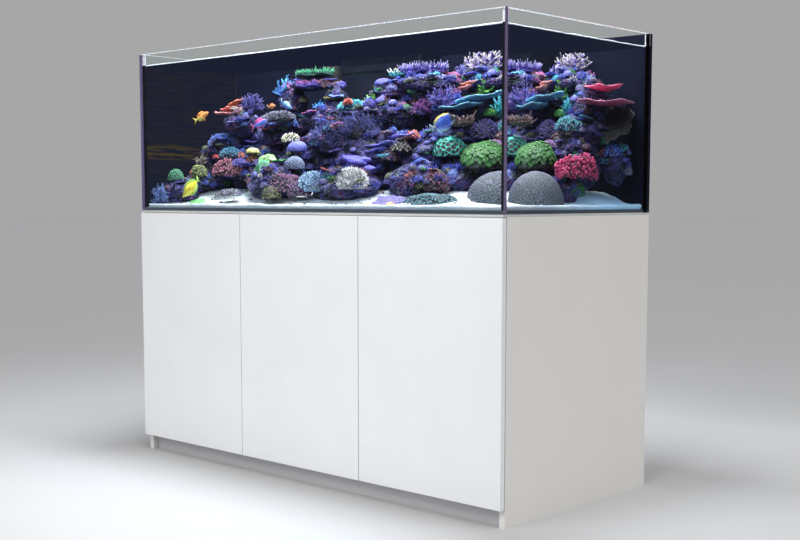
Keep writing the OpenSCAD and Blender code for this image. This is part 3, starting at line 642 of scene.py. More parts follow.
def table(growth, rng, place, radius, height, root, tip, squash):
    """Table coral: a thin plate covered with short upright twigs."""
    # The plate under the twigs is painted darker than their roots towards its middle: painted shade.
    plate(growth, rng, place, radius, height * 0.25, np.array(root) * 0.6, root, (0, 0), squash, 6)
    spacing = 7.5
    count = int((radius / spacing) ** 2 * 3.1)
    radius, height = radius * mm, height * mm
    k = np.arange(count)
    r = radius * 0.98 * np.sqrt((k + 0.5) / count)
    start = np.stack([r * np.cos(GOLDEN * k), squash * r * np.sin(GOLDEN * k),
                      0.25 * height * (r / radius) ** 2], axis=1)
    start = start + rng.normal(0, 1.4 * mm, start.shape)
    outward = unit(start * np.array([1, 1, 0])) * (r / radius)[:, None] * 0.6
    way = outward + UP + rng.normal(0, 0.22, start.shape)
    end = start + way * rng.uniform(0.55, 0.9, (count, 1)) * height
    branches(growth, start + metres(place), end + metres(place), 2.4 * mm, 1.6 * mm, root, tip, rng)


def crowd(size, wide, spare, lowest, jitter, rng):
    """How many forms of one width cover a mound of the given half sizes, and a direction for each."""
    area = 2 * np.pi * (size[0] * size[1] + size[0] * size[2] + size[1] * size[2]) / 3
    count = max(12, int(area / wide ** 2 * spare))
    ways = unit(ball_points(count, lowest) + rng.normal(0, jitter, (count, 3)))
    return count, ways


def knobs(growth, rng, place, size, nub, root, tip):
    """Knobby coral: round nubs packed over a mound of the given half sizes."""
    place, size, nub = metres(place), metres(size), nub * mm
    count, ways = crowd(size, nub * 1.7, 1.1, -0.35, 0.05, rng)
    lump = 1 + 0.14 * field(ways, 0.5, rng.uniform(0, 9))[:, None]
    ends = place + ways * size * lump
    starts = ends - unit(ways / size) * nub * 1.6
    # The mound under the nubs is painted darker than their roots: painted shade between them.
    mound(growth, place, size * 0.86, np.array(root) * 0.45, rng)
    wide = nub * rng.uniform(0.6, 0.95, count)
    branches(growth, starts, ends, wide, wide * 0.95, root, tip, rng, sides=6, bow=0.03, paler=1.6)


def lobes(growth, rng, place, size, count, tint, pale):
    """Smooth rounded lobes that lean on one another."""
    points, faces = ball(4)
    # Each lobe's top is painted paler and its underside darker: painted light from above.
    shade = np.clip(0.5 + 0.5 * points[:, 2], 0, 1)
    size = metres(size)
    for _ in range(count):
        off = rng.uniform(-0.62, 0.62, 3) * size
        own = size * rng.uniform(0.38, 0.62) * rng.uniform(0.85, 1.15, 3)
        bend = 1 + 0.16 * layered(points, 0.7, rng.uniform(0, 9))[:, None]
        growth.add(points * own * bend + metres(place) + off, [faces], blended(tint, pale, shade))


def cells(growth, rng, place, size, spacing, wall, floor, level, depth):
    """Dome of closed cells: raised walls round sunken centres."""
    points, faces = ball(level)
    size, spacing = metres(size), spacing * mm
    mean = sum(size) / 3
    count = int(4 * np.pi * mean ** 2 / spacing ** 2 * 1.15)
    seeds = unit(ball_points(count, -1.0) + rng.normal(0, 0.22 * spacing / mean, (count, 3)))
    tree = kdtree.KDTree(count)
    for i, seed in enumerate(seeds):
        tree.insert(Vector(seed), i)
    tree.balance()
    near = np.array([[found[2] for found in tree.find_n(Vector(p), 2)] for p in points])
    gap = (near[:, 1] - near[:, 0]) * mean / spacing
    ridge = eased(1 - gap / 0.35)
    swell = 1 + 0.03 * layered(points, 0.8, rng.uniform(0, 9))
    skin = points * size * swell[:, None] + points * (ridge * depth * mm)[:, None]
    skin[:, 2] = np.maximum(skin[:, 2], -0.2 * size[2])
    growth.add(skin + metres(place), [faces], blended(floor, wall, ridge))


# A polyp's cap from its middle over the rim to its stalk: radius, height and how much it shows the rim
# colour, partly a painted highlight, down to painted shade on the stalk
CAP_RADIUS = np.array([0.02, 0.45, 0.8, 1.0, 0.93, 0.5, 0.05])
CAP_HEIGHT = np.array([0.10, 0.16, 0.16, 0.02, -0.16, -0.34, -0.8]) * 0.84
CAP_RIM_AND_HIGHLIGHT = np.array([0.0, 0.25, 0.75, 1.0, 0.6, 0.1, 0.0])


def polyps(growth, rng, place, size, width, rim, middle):
    """Overlapping round caps, each a shallow dish turned outwards and up, over a mound painted dark:
    painted shade between the caps.
    """
    place, size, width = metres(place), metres(size), width * mm
    mound(growth, place, size * 0.88, (0.012, 0.03, 0.012), rng)
    count, ways = crowd(size, width, 1.15, -0.05, 0.03, rng)
    lump = 1 + 0.08 * field(ways, 0.5, rng.uniform(0, 9))[:, None]
    middles = place + ways * size * lump
    facing = unit(unit(ways / size) + 0.3 * UP)
    rings, around = len(CAP_RADIUS), 12
    turn = 2 * np.pi * np.arange(around) / around
    wide = width * 0.62 * rng.uniform(0.85, 1.12, count)
    ruffle = 1 + 0.07 * np.sin(5 * turn[None, None] + rng.uniform(0, 6, (count, 1, 1)))
    reach = wide[:, None, None] * CAP_RADIUS[None, :, None] * ruffle
    rise = (wide[:, None] * CAP_HEIGHT)[:, :, None, None] * facing[:, None, None]
    skin = middles[:, None, None] + reach[..., None] * ring_of(*across(facing), around)[:, None] + rise
    # The rim's brightness is partly the cap's own colour and partly a painted highlight; the stalk below is
    # painted shade.
    tints = blended(middle, rim, np.tile(np.repeat(CAP_RIM_AND_HIGHLIGHT, around), count))
    tints = tints * np.repeat(rng.uniform(0.8, 1.2, count), rings * around)[:, None]
    growth.add(skin.reshape(-1, 3), repeated(tube_faces(rings, around), count, rings * around), tints)


def tentacles(growth, rng, place, size, root, tip, long, count, thick):
    """Soft coral or anemone: a mound covered with thin upright tentacles."""
    place, size, thick = metres(place), metres(size), thick * mm
    # The mound under the tentacles is painted darker than their roots: painted shade.
    mound(growth, place, size * 0.9, np.array(root) * 0.6, rng)
    ways = unit(ball_points(count, -0.05) + rng.normal(0, 0.08, (count, 3)))
    starts = place + ways * size * 0.88
    outward = unit(ways + UP * 0.4 + rng.normal(0, 0.3, ways.shape))
    ends = starts + outward * long * mm * rng.uniform(0.7, 1.2, (count, 1))
    branches(growth, starts, ends, thick, thick * 0.7, root, tip, rng, bow=0.15)


# ---- colours and places of the reef

GREEN, LIME, TEAL = (0.04, 0.52, 0.13), (0.34, 0.72, 0.1), (0.03, 0.48, 0.42)
CYAN, SKY, BLUE = (0.1, 0.6, 0.8), (0.12, 0.3, 0.85), (0.05, 0.11, 0.68)
INDIGO, VIOLET, LAVENDER = (0.04, 0.045, 0.32), (0.12, 0.075, 0.46), (0.29, 0.27, 0.64)
PINK, SALMON = (0.68, 0.18, 0.42), (0.8, 0.22, 0.17)
ORANGE, CREAM, OLIVE = (0.88, 0.26, 0.04), (0.86, 0.8, 0.66), (0.22, 0.26, 0.07)
TAN, BROWN, GREY, WHITE = (0.5, 0.33, 0.26), (0.13, 0.06, 0.05), (0.28, 0.31, 0.42), (0.86, 0.9, 0.92)
DARK, ROSE = (0.02, 0.015, 0.05), (0.4, 0.12, 0.2)

# Millimetres: x, y and z of the centre, half length, half depth, half height
ROCKS = [
    (-610, -70, 875, 90, 90, 42), (-400, 0, 915, 110, 120, 75), (-170, 30, 920, 105, 135, 85),
    (70, 20, 925, 115, 140, 90), (305, 50, 930, 105, 135, 90), (530, 130, 925, 105, 110, 85),
    (-330, 120, 1045, 95, 105, 50), (-115, 70, 1060, 100, 100, 55), (110, 70, 1075, 105, 100, 50),
    (310, 140, 1085, 90, 85, 58), (250, 100, 1160, 85, 80, 22), (410, 225, 1160, 85, 70, 34),
    (-640, -190, 850, 75, 65, 34), (-230, -150, 870, 110, 80, 55), (70, -150, 860, 120, 75, 45),
    (330, -120, 875, 100, 70, 50), (-430, 60, 1020, 90, 90, 55), (-450, -40, 1065, 60, 55, 40),
    (-220, 100, 1180, 75, 50, 14), (-315, 110, 1130, 45, 50, 60), (-110, 90, 1125, 45, 50, 55),
    (120, 95, 1140, 70, 60, 34), (560, 160, 1010, 75, 90, 45), (-540, -60, 985, 60, 60, 40),
    (640, 260, 930, 60, 55, 60), (530, 215, 1085, 60, 60, 70), (-20, -40, 1000, 120, 60, 40),
    (190, -20, 985, 80, 55, 40), (-560, 60, 930, 90, 90, 70), (440, -40, 880, 70, 60, 40),
    (600, 40, 850, 60, 60, 34),
]

# Dark hollows where little grows: lowest and highest x, lowest and highest z
HOLLOWS = [(120, 350, 1030, 1075), (200, 330, 890, 985), (-230, -90, 1105, 1165),
           (-230, -110, 1035, 1078), (-60, 60, 1065, 1090)]

# name, place, crown radius, height, root colour, tip colour, stems, thickness
BUSHES = [
    ("staghorn_top", (372, 258, 1200), 78, 58, VIOLET, CREAM, 30, 5.5),
    ("staghorn_top_left", (300, 235, 1180), 46, 44, INDIGO, LAVENDER, 22, 4.0),
    ("acropora_blue_top", (-335, 90, 1158), 48, 62, BLUE, CYAN, 26, 3.0),
    ("acropora_violet_bush", (-450, 20, 1118), 58, 50, INDIGO, (0.24, 0.2, 0.55), 60, 2.0),
    ("acropora_tan_twigs", (-592, -130, 942), 34, 34, BROWN, CREAM, 16, 1.8),
    ("acropora_cyan_corner", (-700, -280, 818), 46, 66, INDIGO, (0.32, 0.55, 0.85), 40, 2.4),
    ("acropora_indigo_mass", (-30, -50, 998), 100, 70, DARK, (0.09, 0.11, 0.55), 90, 2.0),
    ("acropora_indigo_mass_right", (78, -60, 1015), 92, 66, DARK, (0.1, 0.13, 0.55), 80, 2.0),
    ("staghorn_green", (72, 40, 1098), 40, 60, GREEN, LIME, 14, 5.0),
    ("staghorn_bright_green", (416, 170, 1122), 36, 60, GREEN, LIME, 22, 4.5),
    ("acropora_lavender_bank", (330, 60, 1088), 64, 66, VIOLET, LAVENDER, 50, 3.0),
    ("acropora_rose_bank", (262, 40, 1075), 48, 44, VIOLET, PINK, 30, 3.0),
    ("acropora_teal_fan", (476, 150, 1062), 32, 60, TEAL, CYAN, 24, 2.4),
    ("acropora_violet_right", (560, 200, 1085), 56, 60, INDIGO, LAVENDER, 36, 3.0),
    ("acropora_blue_right", (500, 235, 1120), 50, 56, VIOLET, LAVENDER, 34, 3.0),
    ("acropora_violet_low", (-395, 10, 1000), 52, 44, INDIGO, VIOLET, 36, 2.8),
    ("acropora_teal_tuft", (-468, -60, 1102), 15, 18, TEAL, WHITE, 14, 2.2),
    ("acropora_teal_tuft_right", (214, 50, 1136), 20, 20, TEAL, LIME, 16, 2.4),
    ("acropora_sky_tuft", (-146, 30, 1108), 26, 20, SKY, CYAN, 18, 2.4),
]

# name, place, radius, height, root colour, tip colour, depth against width
TABLES = [
    ("table_green", (-207, 95, 1212), 72, 17, (0.02, 0.2, 0.14), (0.1, 0.62, 0.28), 0.8),
    ("table_lavender", (215, 130, 1193), 78, 26, VIOLET, (0.46, 0.42, 0.66), 0.85),
    ("table_cream", (140, 120, 1190), 42, 22, TEAL, CREAM, 0.9),
    ("table_tan", (436, -28, 1034), 42, 22, BROWN, (0.34, 0.22, 0.24), 0.9),
    ("table_rose", (-210, 62, 1178), 52, 16, VIOLET, PINK, 0.8),
]

# name, place, half sizes, nub radius, root colour, tip colour
KNOBS = [
    ("knobs_pink", (-445, -150, 918), (72, 45, 38), 5.5, (0.12, 0.02, 0.04), (0.46, 0.15, 0.22)),
    ("knobs_olive", (-582, -160, 912), (34, 32, 30), 5.0, OLIVE, (0.35, 0.38, 0.14)),
    ("knobs_violet", (-395, -145, 938), (34, 30, 20), 4.5, INDIGO, VIOLET),
    ("knobs_rust", (-361, -110, 950), (24, 22, 18), 6.0, BROWN, ORANGE),
    ("knobs_lemon", (-215, -60, 1012), (36, 30, 22), 5.0, OLIVE, CREAM),
    ("knobs_mauve", (-150, -200, 864), (84, 42, 44), 5.0, (0.05, 0.01, 0.06), (0.36, 0.14, 0.3)),
    ("knobs_mauve_right", (-80, -205, 850), (50, 36, 34), 5.0, (0.04, 0.01, 0.07), (0.3, 0.16, 0.34)),
    ("knobs_olive_low", (-185, -235, 842), (38, 30, 28), 5.5, BROWN, OLIVE),
    ("knobs_rose", (274, -40, 1006), (24, 22, 18), 5.0, ROSE, SALMON),
    ("knobs_tan", (236, -60, 976), (34, 28, 28), 5.5, BROWN, CREAM),
    ("knobs_tan_low", (196, -70, 950), (28, 26, 26), 5.5, VIOLET, TAN),
    ("knobs_ruby", (400, -135, 866), (58, 40, 42), 5.5, (0.04, 0.01, 0.02), (0.3, 0.08, 0.16)),
    ("knobs_violet_low", (120, -160, 856), (58, 40, 32), 6.5, DARK, VIOLET),
    ("magenta_coral", (645, 70, 905), (60, 96, 52), 6.0, (0.6, 0.03, 0.16), (0.88, 0.09, 0.3)),
    ("knobs_violet_wall", (470, 70, 1010), (46, 40, 40), 5.0, (0.02, 0.015, 0.1), (0.14, 0.09, 0.42)),
    ("knobs_pink_small", (86, -120, 945), (18, 16, 16), 4.5, ROSE, PINK),
    ("knobs_blue_back", (650, 240, 960), (46, 42, 36), 6.5, INDIGO, SKY),
    ("knobs_violet_back", (655, 280, 915), (48, 36, 42), 6.5, INDIGO, VIOLET),
    ("knobs_teal_back", (640, 205, 990), (18, 17, 17), 4.5, TEAL, GREEN),
    ("knobs_red", (-506, -150, 963), (13, 11, 9), 4.0, (0.5, 0.03, 0.02), (0.85, 0.08, 0.04)),
    ("crust_teal", (428, -190, 816), (94, 56, 33), 4.0, (0.03, 0.08, 0.12), (0.22, 0.4, 0.42)),
    ("knobs_grey_low", (-385, -225, 846), (48, 28, 17), 5.0, BROWN, GREY),
]

# name, place, half sizes, cell width, wall colour, floor colour, mesh level, wall height
CELLS = [
    ("brain_coral", (605, -85, 815), (104, 96, 87), 10, (0.21, 0.155, 0.28), (0.003, 0.085, 0.042), 6, 2.2),
    ("favites_turquoise", (400, -30, 957), (54, 50, 43), 15, (0.03, 0.74, 0.56),
     (0.07, 0.006, 0.02), 5, 4.5),
    ("dome_green", (-672, -205, 896), (33, 31, 30), 9, (0.08, 0.5, 0.22), (0.01, 0.05, 0.07), 5, 3.0),
    ("dome_periwinkle", (-158, -100, 980), (38, 34, 25), 6, (0.26, 0.28, 0.8), (0.12, 0.12, 0.5), 5, 1.4),
    ("dome_slate", (-138, -150, 926), (37, 34, 31), 8, (0.3, 0.42, 0.6), (0.12, 0.1, 0.2), 5, 2.6),
    ("dome_lime", (-355, -110, 976), (27, 24, 14), 5, (0.6, 0.85, 0.3), (0.75, 0.45, 0.2), 4, 1.2),
    ("dome_jade", (-252, -185, 908), (34, 30, 38), 7, (0.1, 0.5, 0.24), (0.05, 0.16, 0.12), 5, 2.4),
    ("dome_blue", (441, -75, 893), (25, 24, 20), 6, (0.2, 0.34, 0.75), (0.07, 0.1, 0.35), 4, 1.8),
    ("dome_grey_back", (676, 282, 905), (30, 24, 26), 6, (0.22, 0.4, 0.36), (0.3, 0.2, 0.34), 5, 1.8),
    ("dome_lime_right", (456, 128, 1066), (20, 18, 16), 6, LIME, GREEN, 4, 1.5),
]

# name, place, half sizes, how many, colour, and paler colour painted on the lobes' tops as painted light
LOBES = [
    ("lobes_blue_left", (-468, -25, 1080), (48, 34, 30), 6, (0.05, 0.05, 0.45), (0.1, 0.14, 0.75)),
    ("lobes_blue_middle", (350, -62, 985), (26, 22, 16), 5, (0.02, 0.02, 0.16), (0.07, 0.07, 0.45)),
    ("lobes_blue_lower", (325, -75, 935), (30, 26, 24), 6, (0.02, 0.02, 0.14), (0.06, 0.06, 0.4)),
    ("lobes_violet_top", (117, 85, 1158), (56, 44, 24), 10, (0.04, 0.03, 0.26), (0.12, 0.11, 0.5)),
    ("lobes_violet_front", (125, -115, 930), (78, 36, 28), 9, (0.05, 0.04, 0.36), (0.16, 0.12, 0.66)),
    ("lobes_blue_corner", (-655, -215, 848), (56, 36, 28), 7, (0.03, 0.03, 0.22), (0.1, 0.12, 0.5)),
    ("lobes_brown_right", (560, 98, 1000), (52, 60, 26), 9, (0.05, 0.02, 0.02), (0.16, 0.05, 0.07)),
]

# name, place, half sizes, cap width, rim colour (partly a painted highlight), middle colour
POLYPS = [
    ("polyps_green", (515, -20, 930), (72, 72, 58), 15, (0.08, 0.36, 0.025), (0.012, 0.11, 0.012)),
    ("polyps_green_low", (625, 60, 848), (50, 50, 32), 13, (0.08, 0.48, 0.08), (0.02, 0.2, 0.04)),
    ("polyps_pale_green", (-272, -128, 944), (36, 28, 22), 22, (0.62, 0.92, 0.4), (0.2, 0.55, 0.18)),
]

# name, place, half sizes, root colour, tip colour, tentacle length, how many, thickness
TENTACLES = [
    ("leather_white", (130, -195, 873), (60, 44, 44), (0.52, 0.52, 0.5), (0.95, 0.94, 0.86), 12, 420, 2.4),
    ("leather_yellow", (66, -205, 862), (20, 26, 34), OLIVE, (0.62, 0.8, 0.3), 8, 160, 1.8),
    ("acropora_blue_dome", (-535, -60, 1002), (62, 52, 36), (0.01, 0.02, 0.16),
     (0.24, 0.42, 0.9), 10, 400, 2.4),
    ("acropora_cyan_dome", (-460, -110, 966), (46, 38, 24), (0.01, 0.05, 0.14),
     (0.2, 0.66, 0.85), 9, 260, 2.3),
    ("acropora_cyan_brush", (562, 100, 1020), (56, 52, 34), (0.01, 0.07, 0.12),
     (0.24, 0.78, 0.82), 12, 340, 2.6),
    ("acropora_grey_dome", (-300, -10, 1078), (70, 46, 18), (0.03, 0.02, 0.07),
     (0.4, 0.4, 0.5), 12, 380, 1.9),
    ("anemone_sky", (-30, -192, 866), (62, 46, 44), (0.14, 0.3, 0.48), (0.6, 0.82, 0.92), 9, 460, 1.8),
    ("leather_cyan", (0, 15, 1100), (52, 34, 20), (0.05, 0.35, 0.45), (0.25, 0.85, 0.9), 10, 300, 2.0),
    ("leather_coral_centre", (8, -22, 1112), (15, 12, 11), (0.6, 0.1, 0.05), SALMON, 7, 70, 1.8),
    ("anemone_pink", (522, 35, 972), (26, 24, 16), (0.45, 0.25, 0.5), (0.8, 0.52, 0.8), 8, 150, 1.8),
]

# name, place, radius, rise, inner colour, rim colour, tilt, depth against width
PLATES = [
    ("plate_salmon_low", (-560, -5, 1106), 44, 8, (0.6, 0.14, 0.14), (0.95, 0.42, 0.4), (-0.05, 0.05), 0.8),
    ("plate_salmon_middle", (-540, 5, 1121), 40, 8, (0.55, 0.16, 0.08), (0.9, 0.36, 0.26),
     (0.1, 0.05), 0.8),
    ("plate_salmon_top", (-518, 10, 1138), 30, 8, (0.6, 0.18, 0.08), (0.95, 0.36, 0.2), (0.25, 0.05), 0.8),
    ("plate_blue_upper", (440, 76, 1106), 82, 8, (0.06, 0.26, 0.52), (0.3, 0.66, 0.85), (0.13, 0.05), 0.65),
    ("plate_blue_lower", (390, 60, 1086), 66, 8, (0.06, 0.28, 0.52), (0.32, 0.72, 0.88), (0.08, 0.05), 0.7),
    ("plate_coral_upper", (387, 118, 1152), 26, 8, (0.6, 0.14, 0.1), (0.92, 0.4, 0.3), (0.15, 0.1), 0.8),
    ("plate_coral_lower", (376, 108, 1140), 24, 8, (0.5, 0.12, 0.1), (0.85, 0.36, 0.3), (0.15, 0.1), 0.8),
    ("plate_pink_upper", (610, 222, 1138), 66, 12, (0.55, 0.08, 0.2), (0.9, 0.3, 0.42), (0.0, 0.05), 1.0),
    ("plate_pink_lower", (642, 208, 1097), 92, 8, (0.66, 0.08, 0.26), (0.98, 0.42, 0.56),
     (0.0, 0.02), 1.22),
    ("plate_violet_upper", (180, -75, 980), 62, 10, INDIGO, (0.26, 0.22, 0.75), (0.12, 0.0), 0.6),
    ("plate_violet_lower", (150, -85, 962), 56, 10, INDIGO, (0.2, 0.18, 0.66), (0.12, 0.0), 0.6),
    ("plate_violet_high", (235, -55, 1000), 50, 10, INDIGO, (0.28, 0.26, 0.75), (0.12, 0.0), 0.6),
    ("plate_brown_fan", (652, 250, 1036), 68, 10, (0.006, 0.004, 0.004), (0.02, 0.01, 0.01),
     (-0.4, 0.6), 1.0),
    ("plate_cyan_small", (208, -122, 952), 18, 5, TEAL, CYAN, (0.1, 0.0), 0.8),
    ("plate_olive", (-96, 45, 1134), 36, 6, OLIVE, (0.4, 0.36, 0.08), (0.05, 0.0), 0.6),
    ("plate_ochre", (-183, 15, 1088), 26, 6, BROWN, (0.5, 0.38, 0.2), (0.05, 0.0), 0.7),
]

# Flat corals that lie on the sand: name, x, y, radius, height, inner colour, rim colour, depth
DISCS = [
    ("disc_lime", -510, -276, 34, 9, (0.16, 0.55, 0.14), (0.3, 0.7, 0.3), 0.8),
    ("disc_violet", 278, -222, 42, 15, (0.14, 0.1, 0.32), (0.24, 0.18, 0.5), 0.7),
    ("disc_violet_right", 318, -215, 30, 15, (0.14, 0.1, 0.32), (0.26, 0.2, 0.5), 0.7),
    ("disc_orange", 334, -284, 14, 6, (0.7, 0.4, 0.14), (0.85, 0.6, 0.3), 0.7),
]

# Each list's form, finish and slot, and the CAD node that its pieces stand for
COLONIES = [
    (BUSHES, rooted_bush, CORAL, "coral_blue", "branching_corals"),
    (TABLES, table, CORAL, "coral_green", "plate_corals"),
    (KNOBS, knobs, CORAL, "coral_purple", "dome_corals"),
    (CELLS, cells, CORAL, "coral_green", "dome_corals"),
    (LOBES, lobes, SOFT, "coral_purple", "dome_corals"),
    (POLYPS, polyps, SOFT, "coral_green", "dome_corals"),
    (TENTACLES, tentacles, SOFT, "coral_green", "branching_corals"),
    (PLATES, plate, CORAL, "coral_blue", "plate_corals"),
    (DISCS, disc, CORAL, "coral_blue", "plate_corals"),
]

# ---- sand and rocks

side_low, side_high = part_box("glass_right")
weir_low, weir_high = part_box("weir_box")
sand_low, sand_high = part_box("sand_bed")

INSIDE_X = side_low.x
INSIDE_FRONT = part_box("glass_front")[1].y
INSIDE_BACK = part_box("glass_back")[0].y
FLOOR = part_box("glass_floor")[1].z
WATER_BELOW_RIM = 37 * mm
WATER_LEVEL = side_high.z - WATER_BELOW_RIM

# The sand is SAND_EDGE deep along the front and right panes. Its bank starts a little way from each and
# rises over the second distance, to BANK and to BANK_MORE_LEFT above that at the left end.
SAND_EDGE = 12 * mm
BANK = 36 * mm
BANK_MORE_LEFT = 14 * mm
FRONT_START, FRONT_RISE = 60 * mm, 200 * mm
RIGHT_START, RIGHT_RISE = 40 * mm, 250 * mm

# Width of one square of the sand's mesh
SAND_GRID = 5 * mm

# The gap in the sand round the return pipe
RETURN_X = -240 * mm
RETURN_HALF = 34 * mm
RETURN_FRONT = 256 * mm


def sand_height(x, y):
    """Same bank as the CAD sand: low along the front and right panes, and rising to the left."""
    bank = BANK + BANK_MORE_LEFT * (INSIDE_X - x) / (2 * INSIDE_X)
    from_front = eased((y - INSIDE_FRONT - FRONT_START) / FRONT_RISE)
    from_right = eased((INSIDE_X - x - RIGHT_START) / RIGHT_RISE)
    return FLOOR + SAND_EDGE + bank * from_front * from_right


def make_sand():
    """Bed of sand as a fine grid with a flat underside, cut away round the overflow and the return."""
    xs = np.arange(sand_low.x, sand_high.x + SAND_GRID / 2, SAND_GRID)
    ys = np.arange(sand_low.y, sand_high.y + SAND_GRID / 2, SAND_GRID)
    xs[-1], ys[-1] = sand_high.x, sand_high.y
    nx, ny = len(xs), len(ys)
    x, y = (part.ravel() for part in np.meshgrid(xs, ys, indexing="ij"))
    flat = np.stack([x, y, 0 * x], axis=1)
    ripple = 2.2 * mm * layered(flat, 0.07, 3) + 1.2 * mm * layered(flat, 0.018, 8, 2)
    top = np.stack([x, y, sand_height(x, y) + ripple], axis=1)
    low = np.stack([x, y, 0 * x + FLOOR], axis=1)
    i, j = np.meshgrid(np.arange(nx - 1), np.arange(ny - 1), indexing="ij")
    middle_x = (xs[i] + xs[i + 1]) / 2
    middle_y = (ys[j] + ys[j + 1]) / 2
    hole = (np.abs(middle_x) < weir_high.x + SAND_GRID) & (middle_y > weir_low.y - SAND_GRID)
    hole |= (np.abs(middle_x - RETURN_X) < RETURN_HALF) & (middle_y > RETURN_FRONT)
    filled = np.zeros((nx + 1, ny + 1), bool)
    filled[1:-1, 1:-1] = ~hole
    i, j = i[~hole], j[~hole]
    n = nx * ny
    a, b, c, d = i * ny + j, (i + 1) * ny + j, (i + 1) * ny + j + 1, i * ny + j + 1
    faces = [np.stack([a, b, c, d], axis=1), np.stack([a + n, d + n, c + n, b + n], axis=1)]
    for di, dj, start, end in ((0, -1, a, b), (1, 0, b, c), (0, 1, c, d), (-1, 0, d, a)):
        open_side = ~filled[i + 1 + di, j + 1 + dj]
        start, end = start[open_side], end[open_side]
        faces.append(np.stack([start + n, end + n, end, start], axis=1))
    used, renumbered = np.unique(np.concatenate(faces), return_inverse=True)
    growth = Growth()
    growth.add(np.concatenate([top, low])[used], [renumbered.reshape(-1, 4)], (0.9, 0.9, 0.9))
    growth.make("sand_bed_fine", SAND, "sand", "sand_bed")


def stay_inside(points):
    """Keeps the reef clear of the panes, the floor, the surface and the overflow box."""
    gap = 4 * mm
    low = [-INSIDE_X + gap, INSIDE_FRONT + 5 * mm, FLOOR + gap]
    high = [INSIDE_X - gap, INSIDE_BACK - gap, WATER_LEVEL - 6 * mm]
    points = np.clip(points, low, high)
    front = weir_low.y - gap
    near = (np.abs(points[:, 0]) < weir_high.x + 3 * mm) & (points[:, 1] > front)
    points[near, 1] = front
    return points


def rock_skin(x, y, z, a, b, c, seed):
    """Points and faces of one stone: a ball pushed in and out by noise of several sizes."""
    points, faces = ball(5 if a > 70 else 4)
    lump = 1 + 0.20 * layered(points, 0.9, seed, 4) + 0.07 * np.abs(layered(points, 0.22, seed + 5, 2))
    skin = points * metres((a, b, c)) * lump[:, None] + metres((x, y, z))
    return stay_inside(skin), faces


def make_rocks():
    growth = Growth()
    for k, rock in enumerate(ROCKS):
        points, faces = rock_skin(*rock, seed=k + 1)
        growth.add(points, [faces], (0.2, 0.15, 0.3))
    growth.make("live_rock", ROCK, "reef_rock", "reef_rocks")
    return growth.points


def in_hollow(spot):
    x, z = spot[0] / mm, spot[2] / mm
    return any(x0 < x < x1 and z0 < z < z1 for x0, x1, z0, z1 in HOLLOWS)


def perches(skins, count, rng):
    """Spots on the rocks that face the front, the right or up, clear of other rocks."""
    found, ways = [], []
    centres, sizes = metres(ROCKS)[:, :3], metres(ROCKS)[:, 3:]
    areas = sizes[:, 0] * sizes[:, 1]
    while len(found) < count:
        k = rng.choice(len(skins), p=areas / areas.sum())
        spot = skins[k][rng.integers(len(skins[k]))]
        way = unit((spot - centres[k]) / sizes[k] ** 2)
        others = np.delete((((spot - centres) / sizes) ** 2).sum(axis=1), k)
        seen = way[1] < 0.25 or way[2] > 0.3
        clear = others.min() > 0.85 and way[2] > -0.35 and not in_hollow(spot)
        above_sand = spot[2] > sand_height(spot[0], spot[1]) + 8 * mm
        if seen and clear and above_sand and spot[2] < WATER_LEVEL - 30 * mm:
            found.append(spot)
            ways.append(way)
    return np.array(found), np.array(ways)


# ---- colonies

def colony(growth, name, finish, slot, replaced):
    """Makes a piece of the reef, kept inside the tank."""
    growth.points = [stay_inside(points) for points in growth.points]
    growth.make(name, finish, slot, replaced)


def make_colonies(rng):
    for rows, form, finish, slot, replaced in COLONIES:
        for name, *measures in rows:
            growth = Growth()
            form(growth, rng, *measures)
            colony(growth, name, finish, slot, replaced)


def pebbles(rng):
    """Bits of shell, rubble and crust that lie on the sand."""
    growth = Growth()
    points, faces = ball(2)
    for _ in range(260):
        x, y = rng.uniform(-INSIDE_X, INSIDE_X) * 0.97, INSIDE_FRONT + rng.uniform(0.01, 0.26)
        size = rng.uniform(1.2, 4.5) * mm * np.array([1.3, 1, 0.6]) * rng.uniform(0.7, 1.3, 3)
        bend = 1 + 0.25 * layered(points, 0.8, rng.uniform(0, 9))[:, None]
        tint = (WHITE, GREY, TAN, INDIGO, OLIVE, ROSE)[rng.integers(6)]
        skin = points * size * bend + np.array([x, y, sand_height(x, y) + size[2] * 0.4])
        growth.add(skin, [faces], np.array(tint) * rng.uniform(0.5, 1.0))
    colony(growth, "sand_rubble", CORAL, "sand", "sand_bed")


# Root and tip colours of the small growth, and how common each pair is
SMALL_TINTS = [(INDIGO, VIOLET), (INDIGO, BLUE), (INDIGO, SKY), (INDIGO, LAVENDER), (DARK, LAVENDER),
               (INDIGO, PINK), (DARK, CYAN), (DARK, ROSE), (DARK, GREEN), (BROWN, SALMON),
               (DARK, OLIVE), (DARK, INDIGO), (DARK, VIOLET), (INDIGO, CREAM), (DARK, TAN)]
TINT_SHARES = np.array([8, 10, 7, 7, 7, 4, 5, 6, 3, 2, 6, 10, 10, 2, 4], float)

# Small growth: name, share, slot, and the CAD node it stands for
SMALL_GROWTH = [
    ("small_tufts", 0.42, "coral_blue", "branching_corals"),
    ("small_nubs", 0.30, "coral_purple", "dome_corals"),
    ("small_shelves", 0.12, "coral_purple", "plate_corals"),
    ("small_domes", 0.16, "coral_blue", "dome_corals"),
]


